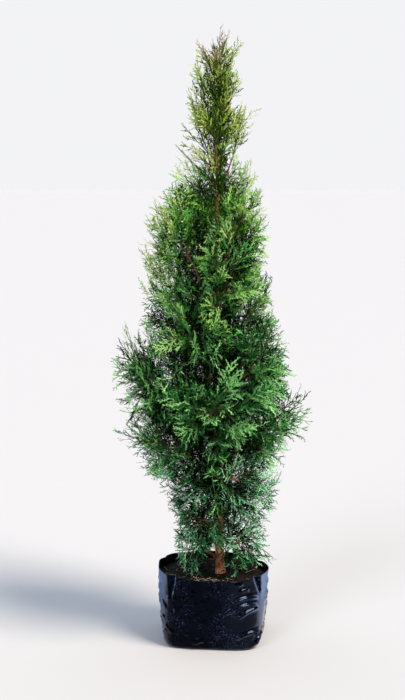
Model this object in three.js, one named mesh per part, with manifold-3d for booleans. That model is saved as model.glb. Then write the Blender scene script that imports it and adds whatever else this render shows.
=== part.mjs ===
// A young emerald green arborvitae, a narrow flame-shaped conifer, standing in a black
// polythene nursery bag that is filled with potting mix. Millimetres, +Z up. The origin is
// the middle of the bag's flat underside, +X is to the right and +Y points to the back.
import * as THREE from "three";
import { mergeVertices } from "three/addons/utils/BufferGeometryUtils.js";
import Module from "manifold-3d";

const wasm = await Module();
wasm.setup();

// Driving dimensions
const CLEARANCE = 0.3; // between two pieces that touch
const UP = new THREE.Vector3(0, 0, 1);

const BAG = {
  film: 1.2,
  rimHeight: 166,
  footRadius: 113,
  rimRadius: 130,
  footRounding: 10,
  footShift: 5, // the foot stands this far to the right of the rim
  depthShares: [0.98, 0.94], // front to back against side to side, at the foot and at the rim
  squareness: 3, // the gusseted foot's power is this much over a circle's 2
  footTurn: 6, // degrees, clockwise from above
  rimDip: 4, // the rim is higher on the left than on the right by twice this
  sides: 28,
};
const SOIL = { height: 148, mound: 3, flatRadius: 42 };

const TRUNK = {
  foot: 148.3,
  tip: 1250,
  footX: 18,
  bendX: -30,
  returnX: 25,
  swayY: 7,
  footRadius: 10.5,
  tipRadius: 2,
  taper: 0.9,
  flare: 5.5,
  flareHeight: 16,
  flareLobes: 5,
  lobeDepth: 0.3,
  sides: 9,
  steps: 16,
  crowding: 1.4,
};

// The crown's outline: height, reach to the left and reach to the right of the bag's middle.
const OUTLINE = [
  [150, 95, 136],
  [260, 102, 134],
  [330, 118, 166],
  [400, 178, 178],
  [470, 200, 192],
  [545, 247, 236],
  [620, 230, 215],
  [700, 207, 172],
  [790, 168, 152],
  [900, 182, 144],
  [985, 168, 138],
  [1060, 138, 120],
  [1100, 76, 78],
  [1190, 66, 86],
  [1300, 66, 66],
  [1365, 42, 54],
  [1400, 16, 28],
];
const DEPTH_SHARE = 0.93; // the crown's reach to the front and back, against its mean reach sideways
// The lowest foliage, inside the bag's mouth and from there out over its rim
const CROWN_FLOOR = { overSoil: 158, overRim: 176, rimFrom: 108 };

// The boughs climb the trunk in a spiral, each with its foliage mass. By number: the height where the
// bough leaves the trunk, its tip's height and the height where its foliage's stem ends; the rise of the
// foliage, from -1 hanging to 1 upright; and how long its sprays are.
const HABIT = [
  { number: 0, foot: 184, tip: 210, stem: 200, rise: -0.5, spray: 112 },
  { number: 4, foot: 252, tip: 300, stem: 318, rise: -0.15, spray: 132 },
  { number: 7, foot: 322, tip: 392, stem: 440, rise: 0.1, spray: 145 },
  { number: 13, foot: 452, tip: 545, stem: 620, rise: 0.36, spray: 148 },
  { number: 17, foot: 580, tip: 685, stem: 775, rise: 0.56, spray: 140 },
  { number: 20, foot: 710, tip: 808, stem: 905, rise: 0.72, spray: 132 },
  { number: 23, foot: 868, tip: 950, stem: 1042, rise: 0.9, spray: 118 },
];
const GOLDEN_TURN = 137.5;
const BOUGHS = {
  count: 24,
  turn: 195, // direction of the first, in degrees from +X
  jitter: 14,
  tipShare: 0.24, // of the crown's reach, at the bough's tip
  stemShare: 0.64, // and at the end of its foliage's stem
  footRadius: 4.6,
  tipRadius: 2.9,
  sides: 5,
  steps: 3,
  belly: 0.55, // how far out a bough bends up, and how deep
  sag: 0.12,
};

// The leader's masses grow from the trunk itself, in two whorls of three.
const LEADERS = {
  whorl: 3,
  whorls: 2,
  foot: 1034,
  climb: 92, // from one whorl to the next
  stagger: 12, // from one mass to the next in a whorl
  rise: 92, // from the stem's foot to its end
  turn: 20,
  share: 0.46, // of the crown's reach, at the stem's end
  sag: 0.16,
  lift: 0.95,
  sprays: [104, 98],
  tries: 28,
  gap: 0.045,
};
const TOP = { stem: 1364, bend: 20, spray: 84, rise: 1, tries: 28, gap: 0.066 };

// Each mass has one stem, with twigs to its sides and sprays round it
const STEM = { footRadius: 2.7, tipRadius: 1.7, sides: 3, steps: 3, bend: 0.45, middle: 0.72 };
const TWIGS = {
  count: 3,
  from: 0.2,
  to: 0.8,
  angle: 52,
  length: 44, // on a mass whose sprays are as long as the next value
  besideSpray: 140,
  footRadius: 2.1,
  tipRadius: 1.5,
  sideSpray: 0.55, // where along the twig its side spray stands, and its angle
  sideAngle: 50,
};
const STEM_SPRAYS = {
  tries: 15,
  from: 9, // mm from the stem's foot
  to: 0.96, // of the stem's length
  footAngle: 96, // the angles to the stem narrow from its foot to its tip
  tipAngle: 34,
  gap: 0.082, // sprays of one mass keep apart by this share of their length
};
const LIFT = 0.45; // how far a rise of 1 turns what branches off upwards
const SPRAY = {
  sunk: 1.4, // the root lies this far behind the twig's middle line
  ridge: 1.5, // half thickness along the rib
  ribs: [0.08, 0.5], // where the rib is thickest
  toothAngle: 33,
  teeth: [0.1, 0.24, 0.4, 0.55], // where each tooth leaves the rib, left and right in turn
  toothLengths: [0.56, 0.52, 0.44, 0.36],
  notchAfter: 0.2, // the notch beyond each tooth: how far on, and its half width
  notch: 0.11,
  lengths: [0.82, 1.18], // the range of a spray's length, as a share of its mass's
  toothRange: [0.8, 1.2],
  roll: 110, // degrees over which the flat sprays are turned about their ribs
  facing: 0.25, // how far up they face, against outwards
  arch: 0.1, // how far the tip leaves the plane, and the straight line with the mass's rise
  bend: 0.12,
  tries: 9, // a spray that doesn't fit is tried again this many times, each time shorter
  shrink: 0.92,
};
const LIMB_GAP = 3.5; // foliage keeps this far from the bark of a limb
const SPACE_MARGIN = 1.6; // and this far inside its own space
const SEED = 2417;

const radians = THREE.MathUtils.degToRad;
const lerp = THREE.MathUtils.lerp;

// The same numbers in the same order each time.
function seeded(seed) {
  let state = seed >>> 0;
  return () => {
    state = (Math.imul(state, 1664525) + 1013904223) >>> 0;
    return state / 4294967296;
  };
}

// The crown's reach from the middle line at a height, in a direction given by its cosine and sine.
function reachAt(height, cosine, sine) {
  let row = 0;
  while (row < OUTLINE.length - 2 && height > OUTLINE[row + 1][0]) row += 1;
  const [lowHeight, lowLeft, lowRight] = OUTLINE[row];
  const [highHeight, highLeft, highRight] = OUTLINE[row + 1];
  const share = Math.min(1, Math.max(0, (height - lowHeight) / (highHeight - lowHeight)));
  const left = lerp(lowLeft, highLeft, share);
  const right = lerp(lowRight, highRight, share);
  const side = cosine < 0 ? left : right;
  const depth = (DEPTH_SHARE * (left + right)) / 2;
  return 1 / Math.hypot(cosine / side, sine / depth);
}

// A point of the crown, by direction, share of the reach and height.
function crownPoint(direction, share, height) {
  const cosine = Math.cos(direction);
  const sine = Math.sin(direction);
  const reach = share * reachAt(height, cosine, sine);
  return new THREE.Vector3(cosine * reach, sine * reach, height);
}

// The row of the habit table for a bough's number, in between the rows that are given.
function habitOf(number) {
  let row = 0;
  while (number > HABIT[row + 1].number) row += 1;
  const [low, high] = [HABIT[row], HABIT[row + 1]];
  const share = (number - low.number) / (high.number - low.number);
  return Object.fromEntries(Object.keys(low).map((key) => [key, lerp(low[key], high[key], share)]));
}

function trunkShare(height) {
  return Math.min(1, Math.max(0, (height - TRUNK.foot) / (TRUNK.tip - TRUNK.foot)));
}

function trunkPoint(height) {
  const t = trunkShare(height);
  const x = TRUNK.footX + TRUNK.bendX * t + TRUNK.returnX * t * t;
  return new THREE.Vector3(x, TRUNK.swayY * Math.sin(4 * t), height);
}

function trunkRadius(height) {
  const bare = Math.pow(1 - trunkShare(height), TRUNK.taper);
  return TRUNK.tipRadius + (TRUNK.footRadius - TRUNK.tipRadius) * bare;
}

// A closed tube: a cylinder whose rings are set along a curve.
function tube(pointAt, tangentAt, radiusAt, sides, steps) {
  const geometry = new THREE.CylinderGeometry(1, 1, 1, sides, steps);
  const position = geometry.attributes.position;
  for (let i = 0; i < position.count; i += 1) {
    const t = position.getY(i) + 0.5;
    const tangent = tangentAt(t);
    const across = new THREE.Vector3(tangent.z, 0, -tangent.x);
    if (across.lengthSq() < 1e-6) across.set(1, 0, 0);
    across.normalize();
    const beside = new THREE.Vector3().crossVectors(across, tangent);
    const radius = radiusAt(t);
    const point = pointAt(t)
      .addScaledVector(across, radius * position.getX(i))
      .addScaledVector(beside, radius * position.getZ(i));
    position.setXYZ(i, point.x, point.y, point.z);
  }
  return geometry;
}

function limb(curve, footRadius, tipRadius, sides, steps) {
  return tube(
    (t) => curve.getPoint(t),
    (t) => curve.getTangent(t),
    (t) => lerp(footRadius, tipRadius, t),
    sides,
    steps,
  );
}

function solidOf(geometry) {
  const bare = geometry.clone();
  bare.deleteAttribute("normal");
  bare.deleteAttribute("uv");
  const merged = mergeVertices(bare, 1e-4);
  return new wasm.Manifold(
    new wasm.Mesh({
      numProp: 3,
      vertProperties: merged.attributes.position.array,
      triVerts: new Uint32Array(merged.index.array),
    }),
  );
}

// The largest closed body of a solid: loose scraps are dropped.
function largest(solid) {
  return solid.decompose().reduce((a, b) => (b.volume() > a.volume() ? b : a));
}

function geometryOf(solid) {
  const mesh = solid.getMesh();
  const points = new Float32Array(mesh.numVert * 3);
  for (let i = 0; i < mesh.numVert; i += 1) {
    const from = i * mesh.numProp;
    points.set(mesh.vertProperties.subarray(from, from + 3), i * 3);
  }
  return new THREE.BufferGeometry()
    .setAttribute("position", new THREE.BufferAttribute(points, 3))
    .setIndex(new THREE.BufferAttribute(mesh.triVerts, 1));
}

// Materials
const material = (color, roughness) => new THREE.MeshStandardMaterial({ color, roughness, metalness: 0 });
const polythene = material(0x0b0d14, 0.22);
const pottingMix = material(0x2b1e17, 0.95);
const bark = material(0x7d4a33, 0.85);
const foliageColours = [
  [150, new THREE.Color(0x3c6a48)],
  [500, new THREE.Color(0x3b7647)],
  [750, new THREE.Color(0x4d8443)],
  [1000, new THREE.Color(0x76963f)],
  [1400, new THREE.Color(0x93a54e)],
];

// The foliage is bluish green low down and yellow-green in the leader.
function foliageAt(height) {
  let row = 0;
  while (height > foliageColours[row + 1][0]) row += 1;
  const [[low, from], [high, to]] = [foliageColours[row], foliageColours[row + 1]];
  return material(from.clone().lerp(to, (height - low) / (high - low)), 0.6);
}

const plant = new THREE.Group();

function addPiece(name, geometry, finish) {
  const mesh = new THREE.Mesh(geometry, finish);
  mesh.name = name;
  plant.add(mesh);
}

// The bag is a turned shell whose foot is squared by its gussets and stands a little to one side.
function shapeAsBag(geometry) {
  geometry.rotateX(Math.PI / 2);
  const position = geometry.attributes.position;
  for (let i = 0; i < position.count; i += 1) {
    const x = position.getX(i);
    const y = position.getY(i);
    const z = position.getZ(i);
    const share = Math.max(0, z) / BAG.rimHeight;
    const angle = Math.atan2(y, x);
    const power = 2 + BAG.squareness * Math.max(0, 1 - share) ** 1.5;
    const turned = angle + radians(BAG.footTurn);
    const sum = Math.abs(Math.cos(turned)) ** power + Math.abs(Math.sin(turned)) ** power;
    const square = sum ** (-1 / power);
    const tilt = -BAG.rimDip * Math.cos(angle) * share ** 4;
    position.setXYZ(
      i,
      x * square + BAG.footShift * (1 - share),
      y * square * lerp(...BAG.depthShares, Math.min(1, share)),
      z + tilt * THREE.MathUtils.smoothstep(Math.hypot(x, y), SOIL.flatRadius, BAG.footRadius),
    );
  }
  return geometry;
}

function bagRadius(height) {
  return lerp(BAG.footRadius, BAG.rimRadius, height / BAG.rimHeight);
}

const WALL_ROWS = [SOIL.height, BAG.rimHeight, BAG.rimHeight + 20];

// One side of the wall from the middle of the floor up to a height, set inwards.
function wallProfile(inset, top) {
  const floor = inset;
  const round = BAG.footRounding;
  const centre = BAG.footRadius - round;
  const points = [new THREE.Vector2(0, floor)];
  for (const angle of [0, 45, 90]) {
    const x = centre + (round - inset) * Math.sin(radians(angle));
    const y = round - (round - inset) * Math.cos(radians(angle));
    points.push(new THREE.Vector2(x, y));
  }
  for (const height of WALL_ROWS.filter((row) => row <= top)) {
    points.push(new THREE.Vector2(bagRadius(height) - inset, height));
  }
  return points;
}

// A solid turned from the wall's profile up to a height and closed over its top.
function bagSolid(inset, top, cover = []) {
  const profile = [...wallProfile(inset, top), ...cover, new THREE.Vector2(0, top)];
  return shapeAsBag(new THREE.LatheGeometry(profile, BAG.sides));
}

const cavity = solidOf(bagSolid(BAG.film, BAG.rimHeight + 20));
const filledOut = solidOf(bagSolid(0, BAG.rimHeight));
addPiece("planter_bag", geometryOf(filledOut.subtract(cavity)), polythene);

const mound = new THREE.Vector2(BAG.footRadius * 0.72, SOIL.height + SOIL.mound);
const flat = new THREE.Vector2(SOIL.flatRadius, SOIL.height);
addPiece("potting_mix", bagSolid(BAG.film + CLEARANCE, SOIL.height, [mound, flat]), pottingMix);

// The trunk is one leader from a flared foot on the potting mix to a thin tip. Its rings stand closer
// together in the flare.
function trunkTube(extra) {
  const heightAt = (t) => lerp(TRUNK.foot, TRUNK.tip, t ** TRUNK.crowding);
  const geometry = tube(
    (t) => trunkPoint(heightAt(t)),
    () => UP,
    (t) => trunkRadius(heightAt(t)) + extra,
    TRUNK.sides,
    TRUNK.steps,
  );
  const position = geometry.attributes.position;
  for (let i = 0; i < position.count; i += 1) {
    const height = position.getZ(i);
    const middle = trunkPoint(height);
    const outX = position.getX(i) - middle.x;
    const outY = position.getY(i) - middle.y;
    const lobes = 1 + TRUNK.lobeDepth * Math.cos(TRUNK.flareLobes * Math.atan2(outY, outX));
    const flare = TRUNK.flare * lobes * Math.exp((TRUNK.foot - height) / TRUNK.flareHeight);
    const grown = 1 + flare / (trunkRadius(height) + extra);
    position.setXYZ(i, middle.x + outX * grown, middle.y + outY * grown, height);
  }
  return geometry;
}

addPiece("trunk", trunkTube(0), bark);
const trunkGuard = solidOf(trunkTube(CLEARANCE));

// A spray is a flat toothed blade with a rib. Its points are given along, across and out of its plane.
function sprayPoint(spray, along, across, out) {
  return spray.root
    .clone()
    .addScaledVector(spray.direction, along)
    .addScaledVector(spray.side, across)
    .addScaledVector(spray.normal, out + (spray.arch * along * along) / spray.length)
    .addScaledVector(UP, (spray.bend * along * along) / spray.length);
}

// The tip and the notch of each tooth on one side of the rib.
function sprayEdge(spray, side) {
  const points = [];
  for (let k = side < 0 ? 0 : 1; k < SPRAY.teeth.length; k += 2) {
    const from = SPRAY.teeth[k] * spray.length;
    const reach = SPRAY.toothLengths[k] * spray.length * spray.teeth[k];
    const angle = radians(SPRAY.toothAngle);
    points.push([from + reach * Math.cos(angle), side * reach * Math.sin(angle)]);
    points.push([from + SPRAY.notchAfter * spray.length, side * SPRAY.notch * spray.length]);
  }
  return points;
}

function sprayGeometry(spray) {
  const points = [];
  const add = (along, across, out) => points.push(sprayPoint(spray, along, across, out)) - 1;
  const root = add(-SPRAY.sunk, 0, 0);
  const apex = add(spray.length, 0, 0);
  const edges = [-1, 1].map((side) => [root, ...sprayEdge(spray, side).map(([a, b]) => add(a, b, 0)), apex]);
  const faces = [];
  for (const out of [1, -1]) {
    const ribs = SPRAY.ribs.map((share) => add(share * spray.length, 0, out * SPRAY.ridge));
    edges.forEach((edge, which) => {
      const forward = (which === 0) === (out > 0);
      const face = (a, b, c) => faces.push(...(forward ? [a, b, c] : [a, c, b]));
      for (let i = 0; i < edge.length - 1; i += 1) {
        face(ribs[Math.min(ribs.length - 1, Math.floor(i / 2))], edge[i], edge[i + 1]);
      }
      for (let k = 1; k < ribs.length; k += 1) face(ribs[k], ribs[k - 1], edge[2 * k]);
    });
  }
  return new THREE.BufferGeometry()
    .setAttribute("position", new THREE.Float32BufferAttribute(points.flatMap((p) => [p.x, p.y, p.z]), 3))
    .setIndex(faces);
}

// Points along the rib and the teeth, where a spray is tested against limbs and other sprays.
function sprayProbes(spray) {
  const probes = [];
  for (let i = 2; i <= 10; i += 1) probes.push(sprayPoint(spray, (spray.length * i) / 10, 0, 0));
  SPRAY.teeth.forEach((from, k) => {
    const angle = radians(SPRAY.toothAngle);
    for (let i = 1; i <= 5; i += 1) {
      const reach = (SPRAY.toothLengths[k] * spray.length * spray.teeth[k] * i) / 5;
      const side = k % 2 === 0 ? -1 : 1;
      const along = from * spray.length + reach * Math.cos(angle);
      probes.push(sprayPoint(spray, along, side * reach * Math.sin(angle), 0));
    }
  });
  return probes;
}

// The masses: where each stem starts, bends and ends
const masses = [];
const boughs = [];
for (let number = 0; number < BOUGHS.count; number += 1) {
  const random = seeded(SEED + 101 * number);
  const direction = radians(BOUGHS.turn + GOLDEN_TURN * number + BOUGHS.jitter * (random() - 0.5));
  const habit = habitOf(number);
  const foot = trunkPoint(habit.foot);
  const tip = crownPoint(direction, BOUGHS.tipShare, habit.tip);
  const end = crownPoint(direction, BOUGHS.stemShare, habit.stem);
  const belly = foot.clone().lerp(tip, BOUGHS.belly);
  belly.z -= BOUGHS.sag * (tip.z - foot.z);
  const label = String(number + 1).padStart(2, "0");
  boughs.push({ name: `bough_${label}`, curve: new THREE.QuadraticBezierCurve3(foot, belly, tip) });
  const heading = tip.clone().sub(belly).normalize();
  const start = tip.clone().addScaledVector(heading, CLEARANCE);
  const bend = start.clone().addScaledVector(heading, STEM.bend * start.distanceTo(end));
  masses.push({
    name: `foliage_${label}`,
    stem: new THREE.QuadraticBezierCurve3(start, bend, end),
    rise: habit.rise,
    spray: habit.spray,
    tries: STEM_SPRAYS.tries,
    gap: STEM_SPRAYS.gap * habit.spray,
    random,
  });
}
for (let number = 0; number < LEADERS.whorl * LEADERS.whorls; number += 1) {
  const whorl = Math.floor(number / LEADERS.whorl);
  const place = number % LEADERS.whorl;
  const direction = radians(LEADERS.turn + (360 / LEADERS.whorl) * (place + whorl / 2));
  const height = LEADERS.foot + LEADERS.climb * whorl + LEADERS.stagger * place;
  const foot = trunkPoint(height);
  const middle = trunkPoint(height + LEADERS.rise).setZ(0);
  const end = crownPoint(direction, LEADERS.share, height + LEADERS.rise).add(middle);
  const bend = foot.clone().lerp(end, 0.5);
  bend.z -= LEADERS.sag * (end.z - foot.z);
  masses.push({
    name: `foliage_leader_${number + 1}`,
    stem: new THREE.QuadraticBezierCurve3(foot, bend, end),
    onTrunk: true,
    rise: LEADERS.lift,
    spray: LEADERS.sprays[whorl],
    tries: LEADERS.tries,
    gap: LEADERS.gap * LEADERS.sprays[whorl],
    random: seeded(SEED + 7001 + 31 * number),
  });
}
const topStart = trunkPoint(TRUNK.tip).addScaledVector(UP, CLEARANCE);
masses.push({
  name: "foliage_leader_tip",
  stem: new THREE.QuadraticBezierCurve3(
    topStart,
    topStart.clone().addScaledVector(UP, TOP.bend),
    topStart.clone().add(new THREE.Vector3(0.5, 0, TOP.stem - TRUNK.tip)),
  ),
  rise: TOP.rise,
  spray: TOP.spray,
  tries: TOP.tries,
  gap: TOP.gap * TOP.spray,
  random: seeded(SEED + 9001),
});
for (const mass of masses) {
  mass.centre = mass.stem.getPoint(STEM.middle);
  mass.length = mass.stem.v0.distanceTo(mass.stem.v2);
}

// Limbs as short straight lengths with a radius, for testing how near foliage comes.
const limbLengths = [];
for (let height = TRUNK.foot; height < TRUNK.tip; height += 20) {
  const from = trunkPoint(height);
  limbLengths.push({ line: new THREE.Line3(from, trunkPoint(height + 20)), radius: trunkRadius(height) });
}
for (const bough of boughs) {
  for (let i = 0; i < 6; i += 1) {
    const line = new THREE.Line3(bough.curve.getPoint(i / 6), bough.curve.getPoint((i + 1) / 6));
    limbLengths.push({ line, radius: lerp(BOUGHS.footRadius, BOUGHS.tipRadius, i / 6) });
  }
}

function clearOfLimbs(point) {
  const near = new THREE.Vector3();
  return limbLengths.every(({ line, radius }) => {
    line.closestPointToPoint(point, true, near);
    return near.distanceTo(point) > radius + LIMB_GAP;
  });
}

// A mass's space: nearer to its own middle than to any other's, inside the crown's outline and above
// the bag.
function inSpace(mass, point) {
  const radius = Math.hypot(point.x, point.y);
  if (radius > reachAt(point.z, point.x / radius, point.y / radius)) return false;
  if (point.z > OUTLINE[OUTLINE.length - 1][0]) return false;
  if (point.z < (radius > CROWN_FLOOR.rimFrom ? CROWN_FLOOR.overRim : CROWN_FLOOR.overSoil)) return false;
  const own = point.distanceTo(mass.centre) + SPACE_MARGIN;
  return masses.every((other) => other === mass || point.distanceTo(other.centre) > own);
}

// A spray at a point of a twig, or null if it would leave the space, or touch a limb or another spray.
function growSpray(mass, at, heading, random, others) {
  const outward = new THREE.Vector3(at.x, at.y, 0).normalize().addScaledVector(UP, SPRAY.facing);
  const facing = outward.addScaledVector(heading, -outward.dot(heading)).normalize();
  const normal = facing.applyAxisAngle(heading, radians(SPRAY.roll * (random() - 0.5)));
  const side = new THREE.Vector3().crossVectors(normal, heading);
  const spray = {
    root: at.clone(),
    direction: heading.clone(),
    normal,
    side,
    length: mass.spray * lerp(...SPRAY.lengths, random()),
    arch: lerp(-SPRAY.arch, SPRAY.arch, random()),
    bend: SPRAY.bend * mass.rise,
    teeth: SPRAY.teeth.map(() => lerp(...SPRAY.toothRange, random())),
  };
  for (let tries = 0; tries < SPRAY.tries; tries += 1) {
    const outline = [-1, 1].flatMap((edge) => sprayEdge(spray, edge)).concat([[spray.length, 0]]);
    const inside = outline.every(([along, across]) => inSpace(mass, sprayPoint(spray, along, across, 0)));
    spray.probes = sprayProbes(spray);
    const apart = others.every((other) => clearOfSpray(spray, other, mass.gap));
    if (inside && apart && spray.probes.every(clearOfLimbs)) return spray;
    spray.length *= SPRAY.shrink;
  }
  return null;
}

function clearOfSpray(spray, other, gap) {
  return spray.probes.every((point) => other.probes.every((probe) => probe.distanceTo(point) > gap));
}

// The heading of what leaves a stem: forward, turned out to one side, and lifted by the mass's rise.
function branchHeading(tangent, turn, angle, rise) {
  const across = new THREE.Vector3().crossVectors(tangent, UP).normalize();
  const over = new THREE.Vector3().crossVectors(across, tangent);
  const out = across.multiplyScalar(Math.cos(turn)).addScaledVector(over, Math.sin(turn));
  return tangent
    .clone()
    .multiplyScalar(Math.cos(angle))
    .addScaledVector(out, Math.sin(angle))
    .addScaledVector(UP, LIFT * rise)
    .normalize();
}

// Twigs to the sides of the stem, with a spray at the end and one along the way, then sprays in a spiral
// round the stem and one at its tip.
function growMass(mass) {
  const random = mass.random;
  const twigs = [];
  const sprays = [];
  const keep = (spray) => spray && sprays.push(spray);
  for (let i = 0; i < TWIGS.count; i += 1) {
    const t = lerp(TWIGS.from, TWIGS.to, (i + 0.5 * random()) / (TWIGS.count - 0.5));
    const from = mass.stem.getPoint(t);
    const turn = Math.PI * i + 0.9 * (random() - 0.5);
    const angle = radians(TWIGS.angle * (0.85 + 0.3 * random()));
    const heading = branchHeading(mass.stem.getTangent(t), turn, angle, mass.rise);
    const whole = (TWIGS.length * mass.spray) / TWIGS.besideSpray;
    const tip = from.clone().addScaledVector(heading, whole * (1.2 - 0.5 * t) * (0.85 + 0.3 * random()));
    const side = turn + Math.PI * (random() < 0.5 ? 0.4 : -0.4);
    const sideways = branchHeading(heading, side, radians(TWIGS.sideAngle), mass.rise);
    const along = (share) => from.clone().lerp(tip, share);
    const ended = growSpray(mass, tip, heading, random, sprays);
    const others = ended ? [...sprays, ended] : sprays;
    const beside = growSpray(mass, along(TWIGS.sideSpray), sideways, random, others);
    const fits = inSpace(mass, tip) && [0.3, 0.6, 1].every((share) => clearOfLimbs(along(share)));
    if (!fits || !(ended || beside)) continue;
    twigs.push(new THREE.LineCurve3(from, tip));
    keep(ended);
    keep(beside);
  }
  const tangent = mass.stem.getTangent(1).addScaledVector(UP, LIFT * mass.rise).normalize();
  keep(growSpray(mass, mass.stem.getPoint(1), tangent, random, sprays));
  const start = 360 * random();
  const first = STEM_SPRAYS.from / mass.length;
  for (let i = 0; i < mass.tries; i += 1) {
    const t = lerp(first, STEM_SPRAYS.to, (i + 0.6 * random()) / mass.tries);
    const wide = lerp(STEM_SPRAYS.footAngle, STEM_SPRAYS.tipAngle, t);
    const angle = radians(wide * (0.85 + 0.3 * random()));
    const turn = radians(start + GOLDEN_TURN * i);
    const heading = branchHeading(mass.stem.getTangent(t), turn, angle, mass.rise);
    keep(growSpray(mass, mass.stem.getPoint(t), heading, random, sprays));
  }
  return { twigs, sprays };
}

// Boughs, each cut clear of the trunk
for (const { name, curve } of boughs) {
  const whole = solidOf(limb(curve, BOUGHS.footRadius, BOUGHS.tipRadius, BOUGHS.sides, BOUGHS.steps));
  addPiece(name, geometryOf(largest(whole.subtract(trunkGuard))), bark);
}

// Foliage masses, each fused from its stem, twigs and sprays
for (const mass of masses) {
  const { twigs, sprays } = growMass(mass);
  let whole = solidOf(limb(mass.stem, STEM.footRadius, STEM.tipRadius, STEM.sides, STEM.steps));
  for (const twig of twigs) {
    whole = whole.add(solidOf(limb(twig, TWIGS.footRadius, TWIGS.tipRadius, 3, 1)));
  }
  for (const spray of sprays) whole = whole.add(solidOf(sprayGeometry(spray)));
  if (mass.onTrunk) whole = whole.subtract(trunkGuard);
  addPiece(mass.name, geometryOf(largest(whole)), foliageAt(mass.centre.z));
}
export default plant;
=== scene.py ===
"""The looks of a young emerald green arborvitae, a narrow conifer with flat scale-leaved sprays, that stands
in a black film nursery bag of potting mix. Lengths are in millimetres until a mesh is made."""

from math import cos, pi, radians, sin
from types import SimpleNamespace as Sizes

import bpy
import numpy as np
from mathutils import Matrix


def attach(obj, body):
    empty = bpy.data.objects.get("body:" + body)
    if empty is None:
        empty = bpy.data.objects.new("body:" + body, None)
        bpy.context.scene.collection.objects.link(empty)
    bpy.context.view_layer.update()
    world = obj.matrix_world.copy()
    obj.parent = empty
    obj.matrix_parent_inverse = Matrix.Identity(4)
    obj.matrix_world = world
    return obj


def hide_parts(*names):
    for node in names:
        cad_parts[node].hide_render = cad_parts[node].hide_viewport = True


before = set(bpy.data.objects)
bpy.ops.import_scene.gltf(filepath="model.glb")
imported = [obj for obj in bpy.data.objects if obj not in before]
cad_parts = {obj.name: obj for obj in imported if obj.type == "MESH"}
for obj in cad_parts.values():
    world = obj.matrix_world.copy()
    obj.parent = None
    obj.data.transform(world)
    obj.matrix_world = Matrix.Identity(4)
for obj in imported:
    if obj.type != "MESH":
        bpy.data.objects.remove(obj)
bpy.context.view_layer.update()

MM = 0.001
UP = np.array([0.0, 0.0, 1.0])

# Sizes that the solids have too. Angles are in degrees. A pair is a range, or a value at each end
BAG = Sizes(
    rim_height=166, rim_radius=130, rim_dip=4, foot_radius=113, foot_rounding=10, foot_shift=5, foot_turn=6,
    squareness=3, depth_shares=(0.98, 0.94),
)
SOIL_HEIGHT = 148
TRUNK = Sizes(
    foot=148.3, tip=1250, foot_x=18, bend_x=-30, return_x=25, sway_y=7, foot_radius=10.5, tip_radius=2,
    taper=0.9, flare=2.5, flare_height=16, flare_lobes=5, lobe_depth=0.3, crowding=1.4,
)
# The crown's outline: height, reach to the left and reach to the right
OUTLINE = np.array(
    [
        (150, 95, 136), (260, 102, 134), (330, 118, 166), (400, 178, 178), (470, 200, 192), (545, 247, 236),
        (620, 230, 215), (700, 207, 172), (790, 168, 152), (900, 182, 144), (985, 168, 138), (1060, 138, 120),
        (1100, 76, 78), (1190, 66, 86), (1300, 66, 66), (1365, 42, 54), (1400, 16, 28),
    ],
    float,
)
DEPTH_SHARE = 0.93
CROWN_FLOOR = Sizes(over_soil=158, over_rim=176, rim_from=108)
# By bough: its number, the heights of its foot, its tip and its stem's end, its rise and its sprays' length
HABIT = np.array(
    [
        (0, 184, 210, 200, -0.5, 112),
        (4, 252, 300, 318, -0.15, 132),
        (7, 322, 392, 440, 0.1, 145),
        (13, 452, 545, 620, 0.36, 148),
        (17, 580, 685, 775, 0.56, 140),
        (20, 710, 808, 905, 0.72, 132),
        (23, 868, 950, 1042, 0.9, 118),
    ]
)
GOLDEN_TURN = 137.5
BOUGHS = Sizes(
    count=24, turn=195, jitter=14, tip_share=0.24, stem_share=0.64, radii=(4.6, 2.9), belly=0.55, sag=0.12,
    collar=0.45, collar_run=14, uneven=0.1,
)
LEADERS = Sizes(
    whorl=3, whorls=2, foot=1034, climb=92, stagger=12, rise=92, turn=20, share=0.46, sag=0.16, lift=0.95,
    sprays=(104, 98), tries=28, gap=0.045,
)
TOP = Sizes(stem=1364, bend=20, spray=84, rise=1, tries=28, gap=0.066)
STEM = Sizes(radii=(2.7, 1.7), bend=0.45, middle=0.72, uneven=0.08)
TWIGS = Sizes(
    count=3, span=(0.2, 0.8), angle=52, length=44, beside_spray=140, radii=(2.1, 1.2), side_spray=0.55,
    side_angle=50, uneven=0.06,
)
STEM_SPRAYS = Sizes(tries=15, first=9, last=0.96, angles=(96, 34), gap=0.082)
LIFT = 0.45
SPRAY = Sizes(
    tooth_angle=33, teeth=(0.1, 0.24, 0.4, 0.55), tooth_lengths=(0.56, 0.52, 0.44, 0.36), notch_after=0.2,
    notch=0.11, lengths=(0.82, 1.18), tooth_range=(0.8, 1.2), roll=110, facing=0.25, arch=0.1, bend=0.12,
    tries=9, shrink=0.92,
)
TOOTH_ANGLE = radians(SPRAY.tooth_angle)
LIMB_GAP = 3.5
SPACE_MARGIN = 1.6
SEED = 2417

# How the rule is carried on, finer than the solids. Between the leader and the shoulders lies a waist, where
# the crown is narrower and more open
FILL = Sizes(
    length=0.9, reach=0.9, waist=1102, waist_half=52, waist_reach=0.4, branch_at=(0.3, 0.6), branch_angle=42,
    branch_length=0.6,
)
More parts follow.
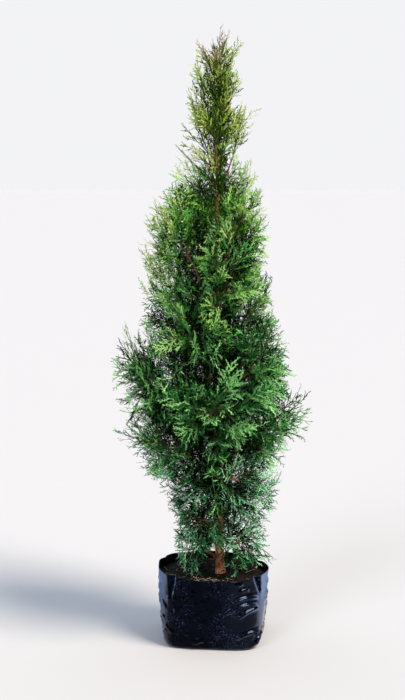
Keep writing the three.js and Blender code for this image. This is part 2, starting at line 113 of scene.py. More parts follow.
# By part of the crown: fill-in sprays on each stem, the share of sprays that fork, the open wisps at each
# mass's end and how far out they may stand, how far apart and how large fronds are, and the angles of fronds
# and fingers
HABIT_KEYS = ("stem", "forks", "wisps", "out", "open", "size", "frond", "finger")
HABIT_ROWS = {
    "low": (9, 0.5, 4, 0.96, 1.6, 1.3, 35, 20),
    "middle": (14, 0.8, 5, 1.16, 1.0, 1.0, 37, 25),
    "high": (14, 0.85, 3, 1.0, 1.0, 1.0, 35, 25),
    "leader": (3, 0.2, 3, 1.0, 1.2, 0.9, 26, 24),
    "tip": (0, 0, 3, 1.0, 1.3, 0.6, 26, 26),
}
HABITS = {zone: Sizes(**dict(zip(HABIT_KEYS, row))) for zone, row in HABIT_ROWS.items()}
OPEN_HABIT = {"open": 1.5, "size": 0.6, "frond": 30, "finger": 26}
HANGING_HABIT = {"open": 1.1, "size": 1.35}
WISP_HABIT = {"open": 1.7, "size": 0.9, "frond": 28, "finger": 22}
WISPS = Sizes(spread=28, length=1.15)
# Nothing of the crown stands further out than this: left and right, front and back
LIMITS = np.array([(-246, 232), (-226, 214)])
# Shoots on the trunk, each seen by itself in the photo: its foot's height, its direction and its angle from
# upright, its length, how it rises towards its tip, and 1 if it is open and may stand further out
TRUNK_SPRAYS = [
    (1331, 20, 3, 71, 0.2, 1), (1318, -20, 12, 82, 0.3, 1), (1300, 190, 17, 80, 0.4, 1),
    (1292, 184, 36, 92, 0.5, 1), (1296, -6, 34, 92, 0.5, 1), (1276, 170, 26, 100, 0.5, 1),
    (1284, -10, 28, 102, 0.5, 1), (1230, -40, 34, 104, 0.5, 1), (1240, 200, 38, 112, 0.6, 1),
    (1190, 175, 41, 120, 0.6, 1), (1140, -8, 46, 126, 0.6, 1), (1122, -30, 48, 120, 0.6, 1),
    (1108, 188, 46, 124, 0.6, 1), (1050, 165, 45, 116, 0.6, 1), (990, 195, 44, 142, 1.0, 0),
    (1000, 182, 36, 118, 1.0, 0), (985, -15, 39, 134, 1.0, 0), (965, -4, 45, 152, 1.0, 0),
    (385, -97, 92, 110, -3.5, 0), (362, -62, 94, 100, -3.5, 0), (262, -14, 94, 132, -4.0, 0),
    (240, -30, 96, 110, -3.0, 0),
]
PLACED_REACH = (1.3, 1.7)
# Sprays that hang from the front boughs over the trunk: the bough's number, the share of the way along it,
# the direction, the angle from upright, the length, and the rise towards the tip
HANGING_SPRAYS = [
    (12, 0.3, -100, 152, 124, -1.0), (12, 0.3, -70, 158, 128, -1.0), (12, 0.45, -40, 152, 116, -1.0),
    (12, 0.55, -72, 146, 116, -1.5), (12, 0.6, -140, 146, 110, -1.5), (7, 0.35, -95, 140, 84, -1.5),
    (7, 0.55, -60, 136, 84, -1.5),
]
# Short shoots straight from the trunk and the boughs, which clothe them within the crown. Heights are the
# lowest, the highest and the step, and one of so many of the leader's shoots stands before the stem
TRUNK_SHOOTS = Sizes(heights=(300, 1050, 11), angles=(66, 30), lengths=(84, 108), rise=0.6)
LEADER_SHOOTS = Sizes(
    heights=(1000, 1304, 4.0), angles=(13, 44), lengths=(50, 76), rise=2.6, fronts=3, front_spread=90
)
BOUGH_SHOOTS = Sizes(count=6, span=(0.3, 1.0), angles=(38, 74), length=88, rise=0.4)
SHOOT_JITTER = 30
# By part of the crown: its top, the masses whose solids it replaces, and its deep, plain and light green
ZONES = {
    "low": {"top": 420, "nodes": range(0, 8), "shades": ("#051b0c", "#38884e", "#94da9e")},
    "middle": {"top": 715, "nodes": range(8, 16), "shades": ("#031607", "#28742f", "#92dc7c")},
    "high": {"top": 935, "nodes": range(16, 24), "shades": ("#071e07", "#4aa03e", "#b0e67a")},
    # The shoulders' greens are yellower and lighter, partly painted light where the crown's shoulders face
    # the light
    "shoulder": {"top": 1070, "nodes": range(0), "shades": ("#2e5c12", "#8cd450", "#d0f084")},
    "leader": {"top": 1350, "nodes": range(24, 30), "shades": ("#3c6016", "#aace48", "#d2e074")},
    "tip": {"top": 1500, "nodes": range(30, 31), "shades": ("#75803a", "#a39c58", "#d0a871")},
}
ZONE_BLUR = 38
# Fronds stand along each rib and tooth, and fingers along each frond: how far apart, where the first one
# stands, the run of them and how unevenly they stand, their length as a share of what bears them and its
# limits, how much length and angle vary, their width, and how far they tilt out of the plane
FROND = Sizes(
    spacing=8.6, first=0.12, run=0.84, uneven=0.6, shares=(0.44, 0.27), lengths=(14, 46), vary=(0.75, 1.3),
    lean_vary=(0.75, 1.25), width=2.1, tilt=16, roll=30, longest_axis=100, end_share=0.32,
    end_lengths=(16, 34), end_overlap=0.9, middle=0.5, foot_width=0.6, within=0.985,
)
FINGER = Sizes(
    spacing=5.0, first=0.1, run=0.82, uneven=0.4, shares=(0.3, 0.22), lengths=(4.5, 10), vary=(0.8, 1.25),
    lean_vary=(0.8, 1.2), width=2.1, tilt=17, ridge=0.5, widest=0.55, within=1.01,
)


def lerp(low, high, share):
    return low + (high - low) * share


def column(values):
    """Values as a column, to go with points."""
    return np.asarray(values)[..., None]


def norm(vectors):
    return np.linalg.norm(vectors, axis=-1)


def unit(vectors):
    return vectors / column(norm(vectors))


def changed(sizes, **changes):
    """A copy with some values changed."""
    return Sizes(**{**vars(sizes), **changes})


def smooth(low, high, value):
    share = np.clip((value - low) / (high - low), 0, 1)
    return share * share * (3 - 2 * share)


def seeded(seed):
    """The draws that the solids were grown with: the same numbers in the same order."""
    state = seed & 0xFFFFFFFF

    def draw():
        nonlocal state
        state = (state * 1664525 + 1013904223) & 0xFFFFFFFF
        return state / 4294967296

    return draw


# Materials


def linear(shade):
    """An sRGB hex value as the linear colour that the shaders take."""
    parts = [int(shade[i : i + 2], 16) / 255 for i in (1, 3, 5)]
    return [p / 12.92 if p <= 0.04045 else ((p + 0.055) / 1.055) ** 2.4 for p in parts] + [1.0]


def add_node(material, kind, settings=None, links=None):
    """A node with its settings, on its sockets or on itself, and its links: socket to output."""
    node = material.node_tree.nodes.new("ShaderNode" + kind)
    for name, value in (settings or {}).items():
        if name in node.inputs:
            node.inputs[name].default_value = value
        else:
            setattr(node, name, value)
    connect(material, node, links or {})
    return node


def connect(material, node, links):
    """Links outputs to a node's sockets, by the sockets' names or numbers."""
    for name, output in links.items():
        material.node_tree.links.new(output, node.inputs[name])


def new_material(name, roughness, level):
    """A material with its shader, and its Object coordinates for patterns with real sizes."""
    material = bpy.data.materials.new(name)
    material.use_nodes = True
    shader = material.node_tree.nodes["Principled BSDF"]
    shader.inputs["Roughness"].default_value = roughness
    shader.inputs["Specular IOR Level"].default_value = level
    place = add_node(material, "TexCoord").outputs["Object"]
    return material, shader, place


def mottle(material, place, size, dark, light, detail=2.0, spots=(0.36, 0.64)):
    """Two shades in cloudy patches of a size in millimetres: their colour, and the clouds as a height."""
    settings = {"Scale": 1 / (size * MM), "Detail": detail}
    clouds = add_node(material, "TexNoise", settings, {"Vector": place}).outputs["Fac"]
    ramp = add_node(material, "ValToRGB", {}, {"Fac": clouds})
    for element, spot, shade in zip(ramp.color_ramp.elements, spots, (dark, light)):
        element.position = spot
        element.color = linear(shade)
    return ramp.outputs["Color"], clouds


def add_relief(material, shader, colour, height, strength, depth):
    """Gives a surface its pattern's colour, and a relief, so many millimetres deep, from its height."""
    settings = {"Strength": strength, "Distance": depth * MM}
    bump = add_node(material, "Bump", settings, {"Height": height})
    connect(material, shader, {"Base Color": colour, "Normal": bump.outputs["Normal"]})


def leaf_material(name, dark, light, shine):
    """Living scale leaves under a thin wax, as they grew: satin, so each catches a soft light and not a
    glint. The small patches of two greens are the overlapping scales, 3 mm apart."""
    material, shader, place = new_material(name, 0.48, shine)
    colour, height = mottle(material, place, 3.0, dark, light)
    add_relief(material, shader, colour, height, 0.35, 0.4)
    return material


def bark_material(name, dark, light, size):
    """Young conifer bark, which splits into thin papery scales as the stem swells: matt, with lighter flakes
    over a darker ground, drawn out along the stem, and faint rings across it."""
    material, shader, place = new_material(name, 0.82, 0.25)
    drawn_out = add_node(material, "Mapping", {"Scale": (1.0, 1.0, 0.45)}, {"Vector": place})
    colour, height = mottle(material, drawn_out.outputs["Vector"], size, dark, light, 5.0)
    settings = {"Scale": 0.05 / (size * MM), "Distortion": 5.0, "Detail": 3.0, "bands_direction": "Z"}
    rings = add_node(material, "TexWave", settings, {"Vector": place}).outputs["Color"]
    settings = {"data_type": "RGBA", "blend_type": "MULTIPLY", "Factor": 0.25}
    shaded = add_node(material, "Mix", settings, {"A": colour, "B": rings})
    add_relief(material, shader, shaded.outputs["Result"], height, 0.6, 0.8)
    return material


GRADE = ("From Min", "From Max", "To Min", "To Max")


def film_material():
    """Polythene film, black all through with carbon, blown and rolled smooth: a strong gloss over small
    dents. It is black face on and, seen aslant, mirrors the pale room as blue bands down its edges, most of
    all towards the rim. Pale blue speckles in patches over it are painted reflections of the sky on its
    dents, and right of its middle it is pulled smooth. Its specular level and IOR vary over the film, so
    they are linked, and the export drops those links."""
    material, shader, place = new_material("black_polythene_film", 0.2, 0.3)
    shader.inputs["Specular Tint"].default_value = linear("#b2ceff")
    # The pale blue shade is a painted reflection of the sky, laid on as speckles where cloudy patches run
    # high
    painted_sky_specks, _ = mottle(material, place, 3.6, "#03040a", "#46547e", 3.0, (0.55, 0.8))
    values = {"aslant": add_node(material, "LayerWeight").outputs["Facing"]}
    for name, size, detail in (("dents", 5, 3.0), ("damp", 48, 1.0)):
        settings = {"Scale": 1 / (size * MM), "Detail": detail}
        values[name] = add_node(material, "TexNoise", settings, {"Vector": place}).outputs["Fac"]
    values.update(add_node(material, "SeparateXYZ", {}, {"Vector": place}).outputs.items())
    # A row grades one value between two limits to two others, or takes two values together
    for name, source, *how in (
        ("right", "X", 14 * MM, 44 * MM, 0, 1),
        ("front", "Y", -20 * MM, -70 * MM, 0, 1),
        ("pulled", "right", "MULTIPLY", "front"),
        ("steep", "aslant", 0.34, 0.6, 0, 1),
        ("high", "Z", 40 * MM, 125 * MM, 0.25, 1),
        ("gloss", "steep", "MULTIPLY", "high"),
        ("patches", "damp", 0.46, 0.62, 0, 1),
        ("relief", "pulled", 0, 1, 0.5, 0.06),
        ("roughness", "dents", 0, 1, 0.05, 0.16),
        ("least", "pulled", 0, 1, 0.06, 0.16),
        ("level", "least", "ADD", "gloss"),
        ("index", "gloss", 0, 1, 1.54, 2.8),
    ):
        if len(how) == 2:
            operation, other = how
            links = {0: values[source], 1: values[other]}
            node = add_node(material, "Math", {"operation": operation}, links)
        else:
            node = add_node(material, "MapRange", dict(zip(GRADE, how)), {"Value": values[source]})
        values[name] = node.outputs[0]
    # Painted sky reflection: pale blue speckles mixed over the black film by the patches
    settings = {"data_type": "RGBA", "A": linear("#03040a")}
    colour = add_node(material, "Mix", settings, {"Factor": values["patches"], "B": painted_sky_specks})
    links = {"Height": values["dents"], "Strength": values["relief"]}
    bump = add_node(material, "Bump", {"Distance": 1.4 * MM}, links)
    connect(material, shader, {"Base Color": colour.outputs["Result"], "Normal": bump.outputs["Normal"]})
    links = {"Roughness": "roughness", "Specular IOR Level": "level", "IOR": "index"}
    connect(material, shader, {socket: values[name] for socket, name in links.items()})
    return material


def earth_material(name, dark, light, size):
    """Composted bark and peat, or dry chips and straw, broken up and left rough: quite matt, in two shades
    whose patches show as crumbs and fibres."""
    material, shader, place = new_material(name, 0.9, 0.2)
    colour, height = mottle(material, place, size, dark, light, 6.0)
    add_relief(material, shader, colour, height, 0.8, 1.5)
    return material


# Meshes


def add_object(name, data):
    made = bpy.data.objects.new(name, data)
    bpy.context.scene.collection.objects.link(made)
    return made


def joined_mesh(name, groups, material, replaced=()):
    """One piece from many small shapes. A group is an array of shapes' points and one shape's triangles."""
    points, triangles, count = [], [], 0
    for shapes, faces in groups:
        many, each, _ = shapes.shape
        points.append(shapes.reshape(-1, 3))
        starts = count + each * np.arange(many)[:, None, None]
        triangles.append((np.asarray(faces)[None] + starts).reshape(-1, 3))
        count += many * each
    points = (np.concatenate(points) * MM).astype(np.float32)
    triangles = np.concatenate(triangles).astype(np.int32)
    mesh = bpy.data.meshes.new(name)
    mesh.vertices.add(len(points))
    mesh.vertices.foreach_set("co", points.ravel())
    mesh.loops.add(triangles.size)
    mesh.loops.foreach_set("vertex_index", triangles.ravel())
    mesh.polygons.add(len(triangles))
    mesh.polygons.foreach_set("loop_start", np.arange(0, triangles.size, 3, dtype=np.int32))
    mesh.update(calc_edges=True)
    finish_piece(add_object(name, mesh), material, replaced)


def finish_piece(piece, material, replaced=()):
    """Gives a piece its material and its body, and hides the solids that it replaces."""
    piece.data.materials.clear()
    piece.data.materials.append(material)
    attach(piece, "root")
    if replaced:
        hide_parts(*replaced)


def ring_skin(name, sides, rings):
    """A skin of rings, each extruded from the last and scaled. A ring is a radius and a height."""
    bpy.ops.object.select_all(action="DESELECT")
    radius, height = rings[0]
    bpy.ops.mesh.primitive_circle_add(vertices=sides, radius=radius * MM, fill_type="NOTHING")
    piece = bpy.context.object
    piece.name = name
    piece.data.name = name
    bpy.ops.object.mode_set(mode="EDIT")
    bpy.ops.mesh.select_all(action="SELECT")
    bpy.ops.transform.translate(value=(0, 0, height * MM))
    for (last_radius, last_height), (radius, height) in zip(rings, rings[1:]):
        step = {"value": (0, 0, (height - last_height) * MM)}
        bpy.ops.mesh.extrude_edges_move(TRANSFORM_OT_translate=step)
        share = radius / last_radius
        bpy.ops.transform.resize(value=(share, share, 1), center_override=(0, 0, height * MM))
    bpy.ops.mesh.select_all(action="SELECT")
    bpy.ops.mesh.normals_make_consistent(inside=False)
    bpy.ops.object.mode_set(mode="OBJECT")
    return piece


def close_ring(piece, ring, flat):
    """Closes a ring of points, with a flat face or by drawing it together in its middle."""
    bpy.context.view_layer.objects.active = piece
    bpy.ops.object.mode_set(mode="EDIT")
    bpy.ops.mesh.select_all(action="DESELECT")
    bpy.ops.object.mode_set(mode="OBJECT")
    for vertex in list(piece.data.vertices)[ring]:
        vertex.select = True
    bpy.ops.object.mode_set(mode="EDIT")
    if flat:
        bpy.ops.mesh.edge_face_add()
    else:
        bpy.ops.mesh.merge(type="CENTER")
    bpy.ops.object.mode_set(mode="OBJECT")


def move_points(piece, place):
    """Moves a piece's points by a function from their places to their new ones."""
    mesh = piece.data
    points = np.empty(len(mesh.vertices) * 3, np.float32)
    mesh.vertices.foreach_get("co", points)
    moved = place(points.reshape(-1, 3).astype(float) / MM) * MM
    mesh.vertices.foreach_set("co", moved.astype(np.float32).ravel())
    mesh.update()


def apply_modifier(piece, kind, settings):
    bpy.context.view_layer.objects.active = piece
    modifier = piece.modifiers.new(kind.lower(), kind)
    for name, value in settings.items():
        setattr(modifier, name, value)
    bpy.ops.object.modifier_apply(modifier=modifier.name)


def press_pattern(piece, kind, size, depth, settings):
    """Presses a procedural pattern of a size and a depth into a piece."""
    texture = bpy.data.textures.new(f"{piece.name}_{kind.lower()}_{size:g}", kind)
    texture.noise_scale = size * MM
    settings = {"texture": texture, "strength": depth * MM, "mid_level": 0.5, **settings}
    apply_modifier(piece, "DISPLACE", settings)


# The crown's rule, as in the solids


def reach_at(height, cosine, sine):
    left = np.interp(height, OUTLINE[:, 0], OUTLINE[:, 1])
    right = np.interp(height, OUTLINE[:, 0], OUTLINE[:, 2])
    side = np.where(cosine < 0, left, right)
    depth = DEPTH_SHARE * (left + right) / 2
    return 1 / np.hypot(cosine / side, sine / depth)


def crown_point(direction, share, height):
    cosine, sine = cos(direction), sin(direction)
    reach = share * reach_at(height, cosine, sine)
    return np.array([cosine * reach, sine * reach, height])


def trunk_share(height):
    """How far up the trunk a height lies."""
    return np.clip((height - TRUNK.foot) / (TRUNK.tip - TRUNK.foot), 0, 1)


def trunk_point(height):
    t = trunk_share(height)
    x = TRUNK.foot_x + TRUNK.bend_x * t + TRUNK.return_x * t * t
    return np.stack([x, TRUNK.sway_y * np.sin(4 * t), height + 0 * t], axis=-1)


def stem_point(height):
    """A point of the trunk or, above its tip, of the leader's stem."""
    point = trunk_point(min(height, TRUNK.tip))
    return point + UP * max(0, height - TRUNK.tip)


def trunk_radius(height):
    return lerp(TRUNK.tip_radius, TRUNK.foot_radius, (1 - trunk_share(height)) ** TRUNK.taper)


def curve_point(curve, t):
    a, b, c = curve
    return (1 - t) ** 2 * a + 2 * t * (1 - t) * b + t * t * c


def curve_heading(curve, t):
    a, b, c = curve
    return unit((1 - t) * (b - a) + t * (c - b))


def plan_masses():
    """Each mass: where its stem starts, bends and ends, and how it grows. The boughs come with it."""
    masses, boughs = [], []

    def add_mass(name, stem, draw, rise, spray, spaced):
        index = len(masses)
        zone = next(zone for zone, settings in ZONES.items() if index in settings["nodes"])
        mass = Sizes(name=name, index=index, stem=stem, draw=draw, rise=rise, spray=spray, habit=HABITS[zone])
        mass.length = norm(stem[2] - stem[0])
        mass.tries, mass.gap = spaced.tries, spaced.gap * spray
        masses.append(mass)

    for number in range(BOUGHS.count):
        draw = seeded(SEED + 101 * number)
        direction = radians(BOUGHS.turn + GOLDEN_TURN * number + BOUGHS.jitter * (draw() - 0.5))
        foot_height, tip_height, stem_height, rise, spray = [
            np.interp(number, HABIT[:, 0], values) for values in HABIT[:, 1:].T
        ]
        foot = trunk_point(foot_height)
        tip = crown_point(direction, BOUGHS.tip_share, tip_height)
        end = crown_point(direction, BOUGHS.stem_share, stem_height)
        belly = lerp(foot, tip, BOUGHS.belly) - BOUGHS.sag * (tip[2] - foot[2]) * UP
        boughs.append((foot, belly, tip))
        bend = tip + unit(tip - belly) * STEM.bend * norm(end - tip)
        add_mass(f"foliage_{number + 1:02d}", (tip, bend, end), draw, rise, spray, STEM_SPRAYS)
    for number in range(LEADERS.whorl * LEADERS.whorls):
        whorl, place = divmod(number, LEADERS.whorl)
        direction = radians(LEADERS.turn + 360 / LEADERS.whorl * (place + whorl / 2))
        height = LEADERS.foot + LEADERS.climb * whorl + LEADERS.stagger * place
        foot = trunk_point(height)
        middle = trunk_point(height + LEADERS.rise) * (1, 1, 0)
        end = crown_point(direction, LEADERS.share, height + LEADERS.rise) + middle
        bend = (foot + end) / 2 - LEADERS.sag * (end[2] - foot[2]) * UP
        draw, spray = seeded(SEED + 7001 + 31 * number), LEADERS.sprays[whorl]
        add_mass(f"foliage_leader_{number + 1}", (foot, bend, end), draw, LEADERS.lift, spray, LEADERS)
    start = trunk_point(TRUNK.tip)
    stem = (start, start + TOP.bend * UP, start + (0.5, 0, TOP.stem - TRUNK.tip))
    add_mass("foliage_leader_tip", stem, seeded(SEED + 9001), TOP.rise, TOP.spray, TOP)
    return masses, boughs


MASSES, BOUGH_CURVES = plan_masses()
CENTRES = np.array([curve_point(mass.stem, STEM.middle) for mass in MASSES])


def limb_lengths(step=20, parts=6):
    """The limbs as short straight lengths, with their radii."""
    heights = np.arange(TRUNK.foot, TRUNK.tip, step)
    rows = [(trunk_point(h), trunk_point(h + step), trunk_radius(h)) for h in heights]
    for curve in BOUGH_CURVES:
        for i in range(parts):
            ends = curve_point(curve, i / parts), curve_point(curve, (i + 1) / parts)
            rows.append((*ends, lerp(*BOUGHS.radii, i / parts)))
    return [np.array(values) for values in zip(*rows)]


LIMB_FROM, LIMB_TO, LIMB_RADIUS = limb_lengths()


def clear_of_limbs(points):
    """For each point, whether it is clear of every limb."""
    clear = np.empty(len(points), bool)
    run = LIMB_TO - LIMB_FROM
    for first in range(0, len(points), 4000):
        offset = points[first : first + 4000, None] - LIMB_FROM
        along = np.clip((offset * run).sum(-1) / (run * run).sum(-1), 0, 1)
        away = norm(offset - along[..., None] * run)
        clear[first : first + 4000] = (away > LIMB_RADIUS + LIMB_GAP).all(1)
    return clear


def in_reach(points, share=1.0):
    """For each point, whether it is inside a share of the crown's outline and above the bag."""
    x, y, z = points.T
    radius = np.hypot(x, y)
    floor = np.where(radius > CROWN_FLOOR.rim_from, CROWN_FLOOR.over_rim, CROWN_FLOOR.over_soil)
    within = radius <= share * reach_at(z, x / radius, y / radius)
    within &= (points[:, :2] > LIMITS[:, 0]).all(1) & (points[:, :2] < LIMITS[:, 1]).all(1)
    return within & (z <= OUTLINE[-1, 0] + 20 * np.maximum(0, share - 1)) & (z >= floor)


def fill_reach(points):
    """The share of the crown's outline that fill-in sprays may reach, by height."""
    waist = np.exp(-(((points[:, 2] - FILL.waist) / FILL.waist_half) ** 2))
    return lerp(FILL.reach, FILL.waist_reach, waist)


def in_space(points, owner):
    """For each point, whether it is inside the outline and in its mass's own space."""
    away = norm(points[:, None] - CENTRES)
    rows = np.arange(len(points))
    own = away[rows, owner] + SPACE_MARGIN
    away[rows, owner] = np.inf
    return in_reach(points) & (away.min(1) > own)


def spray_points(spray, along, across):
    """Places on a spray, or on as many sprays as there are places: distances along the rib and across it."""
    along, across = column(along), column(across)
    lifted = along**2 / column(spray.length)
    bent = spray.root + spray.direction * along + spray.side * across
    return bent + spray.normal * column(spray.arch) * lifted + UP * column(spray.bend) * lifted


def picked(table, which):
    """The rows of a table of arrays that an index or a mask picks."""
    return Sizes(**{key: values[which] for key, values in vars(table).items()})


def spray_teeth(spray):
    """By tooth of a spray, or of a table of sprays: where it stands on the rib, its side and its length."""
    for k, share in enumerate(SPRAY.teeth):
        yield share, -1 if k % 2 == 0 else 1, SPRAY.tooth_lengths[k] * spray.length * spray.teeth[..., k]


def spray_outline(spray):
    """The tips and notches of the teeth, and the apex, as distances along the rib and across."""
    length = spray.length
    along, across = [length], [0.0]
    for share, side, reach in spray_teeth(spray):
        along += [share * length + reach * cos(TOOTH_ANGLE), (share + SPRAY.notch_after) * length]
        across += [side * reach * sin(TOOTH_ANGLE), side * SPRAY.notch * length]
    return along, across


def spray_probes(spray, steps=5):
    """Points along the rib and the teeth, which show whether the spray is clear of its neighbours."""
    along = [spray.length * i / (2 * steps) for i in range(2, 2 * steps + 1)]
    across = [0.0] * len(along)
    for share, side, whole in spray_teeth(spray):
        for i in range(1, steps + 1):
            reach = whole * i / steps
            along.append(share * spray.length + reach * cos(TOOTH_ANGLE))
            across.append(side * reach * sin(TOOTH_ANGLE))
    return spray_points(spray, along, across)


def grow_spray(mass, at, heading, others, share=1.0, reach=None, clings=False):
    """A spray at a point of a twig, in a list of its own, which is empty if the spray would leave the space,
    or touch a limb or another spray. With others None it fills in: it may pass close to its neighbours and
    into the next mass's space. One that clings may lie along the limb that it grows from."""
    draw = mass.draw
    outward = unit(at * (1, 1, 0)) + SPRAY.facing * UP
    facing = unit(outward - heading * outward.dot(heading))
    roll = radians(SPRAY.roll * (draw() - 0.5))
    normal = facing * cos(roll) + np.cross(heading, facing) * sin(roll)
    spray = Sizes(
        root=at,
        direction=heading,
        normal=normal,
        side=np.cross(normal, heading),
        length=share * mass.spray * lerp(*SPRAY.lengths, draw()),
        arch=lerp(-SPRAY.arch, SPRAY.arch, draw()),
        bend=SPRAY.bend * mass.rise,
        teeth=np.array([lerp(*SPRAY.tooth_range, draw()) for _ in SPRAY.teeth]),
        reach=reach or 1.0,
        habit=mass.habit,
    )
    for _ in range(SPRAY.tries):
        outline = spray_points(spray, *spray_outline(spray))
        if others is None:
            fits = in_reach(outline, reach or fill_reach(outline)).all()
        else:
            fits = in_space(outline, mass.index).all()
        if fits:
            spray.probes = spray_probes(spray)
            if apart(spray, others, mass.gap) and (clings or clear_of_limbs(spray.probes).all()):
                return [spray]
        spray.length *= SPRAY.shrink
    return []


def apart(spray, others, gap):
    """Whether a spray keeps a gap to all others."""
    if not others:
        return True
    near = np.concatenate([other.probes for other in others])
    return norm(spray.probes[:, None] - near).min() > gap


def branch_heading(tangent, turn, angle, rise):
    """The heading of a branch: how far it turns round its limb, its angle to it, and how it lifts."""
    across = unit(np.cross(tangent, UP))
    out = across * cos(turn) + np.cross(across, tangent) * sin(turn)
    return unit(tangent * cos(angle) + out * sin(angle) + UP * LIFT * rise)


def vary(draw):
    """A factor a little under or over 1."""
    return 0.85 + 0.3 * draw()


def grow_mass(mass):
    """The twigs and sprays of the solid mass, with the same draws."""
    draw, stem, rise = mass.draw, mass.stem, mass.rise
    twigs, sprays = [], []
    for i in range(TWIGS.count):
        t = lerp(*TWIGS.span, (i + 0.5 * draw()) / (TWIGS.count - 0.5))
        start = curve_point(stem, t)
        turn = pi * i + 0.9 * (draw() - 0.5)
        angle = radians(TWIGS.angle * vary(draw))
        heading = branch_heading(curve_heading(stem, t), turn, angle, rise)
        whole = TWIGS.length * mass.spray / TWIGS.beside_spray
        tip = start + heading * whole * (1.2 - 0.5 * t) * vary(draw)
        side = turn + pi * (0.4 if draw() < 0.5 else -0.4)
        sideways = branch_heading(heading, side, radians(TWIGS.side_angle), rise)
        ended = grow_spray(mass, tip, heading, sprays)
        beside = grow_spray(mass, lerp(start, tip, TWIGS.side_spray), sideways, sprays + ended)
        probes = np.array([lerp(start, tip, share) for share in (0.3, 0.6, 1)])
        fits = in_space(tip[None], mass.index).all() and clear_of_limbs(probes).all()
        if fits and (ended or beside):
            twigs.append((start, tip))
            sprays += ended + beside
    heading = unit(curve_heading(stem, 1) + UP * LIFT * rise)
    sprays += grow_spray(mass, curve_point(stem, 1), heading, sprays)
    grow_along_stem(mass, sprays, mass.tries, sprays, 1.0)
    return twigs, sprays


def grow_along_stem(mass, sprays, tries, others, share):
    """Sprays in a spiral round the stem, wide at its foot and close at its tip."""
    draw, stem = mass.draw, mass.stem
    start = 360 * draw()
    first = STEM_SPRAYS.first / mass.length
    for i in range(tries):
        t = lerp(first, STEM_SPRAYS.last, (i + 0.6 * draw()) / tries)
        angle = radians(lerp(*STEM_SPRAYS.angles, t) * vary(draw))
        turn = radians(start + GOLDEN_TURN * i)
        heading = branch_heading(curve_heading(stem, t), turn, angle, mass.rise)
        sprays += grow_spray(mass, curve_point(stem, t), heading, others, share)


def fill_mass(mass, sprays):
    """The rule carried on past the solids: more sprays on the stem, then sprays that fork off the ribs, and
    open wisps at the mass's end, which stand a little out of the crown, most of all to left and right."""
    habit = mass.habit
    grow_along_stem(mass, sprays, habit.stem, None, FILL.length)
    draw = mass.draw
    angle = radians(FILL.branch_angle)
    for spray in list(sprays):
        if draw() > habit.forks:
            continue
        share = lerp(*FILL.branch_at, draw())
        turn = 2 * pi * draw()
        out = spray.side * cos(turn) + spray.normal * sin(turn)
        heading = unit(spray.direction * cos(angle) + out * sin(angle))
        at = spray_points(spray, [share * spray.length], [0])[0]
        length = FILL.branch_length * spray.length / mass.spray
        sprays += grow_spray(mass, at, heading, None, length)
    end, ahead = curve_point(mass.stem, 1), curve_heading(mass.stem, 1)
    wisp = changed(mass, habit=changed(habit, **WISP_HABIT))
    reach = lerp(1, habit.out, abs(unit(end * (1, 1, 0))[0]))
    for i in range(habit.wisps):
        turn = 2 * pi * (i + 0.7 * draw()) / habit.wisps
        heading = branch_heading(ahead, turn, radians(WISPS.spread), mass.rise)
        sprays += grow_spray(wisp, end, heading, None, WISPS.length, reach)


def polar_heading(degrees, lean):
    """A heading from its direction and its angle from upright, in degrees."""
    turn, angle = radians(degrees), radians(lean)
    return np.array([sin(angle) * cos(turn), sin(angle) * sin(turn), cos(angle)])


def shoot_from(at, heading, length, rise, draw, reach=None, habit=None, clings=False):
    """A spray that grows straight from a limb."""
    nearest = MASSES[int(np.argmin(norm(CENTRES - at)))]
    habit = changed(nearest.habit, **(habit or {}))
    shoot = changed(nearest, spray=length, rise=rise, gap=0, draw=draw, habit=habit)
    return grow_spray(shoot, at, heading, None, 1.0, reach, clings)


def grow_limb_shoots():
    """Shoots in a spiral up the trunk and the leader, the placed sprays, and shoots round each bough."""
    draw = seeded(SEED + 12001)
    upright = np.array([0.05, 0, 1])
    sprays = []
    low, high, _ = TRUNK_SHOOTS.heights
    for i, height in enumerate(np.arange(*TRUNK_SHOOTS.heights)):
        wide = lerp(*TRUNK_SHOOTS.angles, (height - low) / (high - low))
        angle = radians(wide * (0.8 + 0.4 * draw()))
        heading = branch_heading(upright, radians(GOLDEN_TURN * i + SHOOT_JITTER * draw()), angle, 0)
        length = lerp(*TRUNK_SHOOTS.lengths, draw())
        sprays += shoot_from(trunk_point(height), heading, length, TRUNK_SHOOTS.rise, draw)
    for i, height in enumerate(np.arange(*LEADER_SHOOTS.heights)):
        turn = radians(GOLDEN_TURN * i + SHOOT_JITTER * draw())
        angle = radians(lerp(*LEADER_SHOOTS.angles, draw()))
        if i % LEADER_SHOOTS.fronts == 0:
            turn = radians(LEADER_SHOOTS.front_spread * (draw() - 0.5))
        heading = branch_heading(upright, turn, angle, 0)
        length = lerp(*LEADER_SHOOTS.lengths, draw())
        sprays += shoot_from(stem_point(height), heading, length, LEADER_SHOOTS.rise, draw, clings=True)
    for height, degrees, lean, length, rise, is_open in TRUNK_SPRAYS:
        at, heading = stem_point(height), polar_heading(degrees, lean)
        reach, habit = PLACED_REACH[is_open], OPEN_HABIT if is_open else None
        sprays += shoot_from(at, heading, length, rise, draw, reach, habit)
    for bough, share, degrees, lean, length, rise in HANGING_SPRAYS:
        at, heading = curve_point(BOUGH_CURVES[bough - 1], share), polar_heading(degrees, lean)
        sprays += shoot_from(at, heading, length, rise, draw, PLACED_REACH[0], HANGING_HABIT, clings=True)
    for curve in BOUGH_CURVES:
        for i in range(BOUGH_SHOOTS.count):
            t = lerp(*BOUGH_SHOOTS.span, (i + draw()) / BOUGH_SHOOTS.count)
            angle = radians(lerp(*BOUGH_SHOOTS.angles, draw()))
            turn = radians(GOLDEN_TURN * i + 360 * draw())
            heading = branch_heading(curve_heading(curve, t), turn, angle, BOUGH_SHOOTS.rise)
            sprays += shoot_from(curve_point(curve, t), heading, BOUGH_SHOOTS.length, BOUGH_SHOOTS.rise, draw)
    return sprays


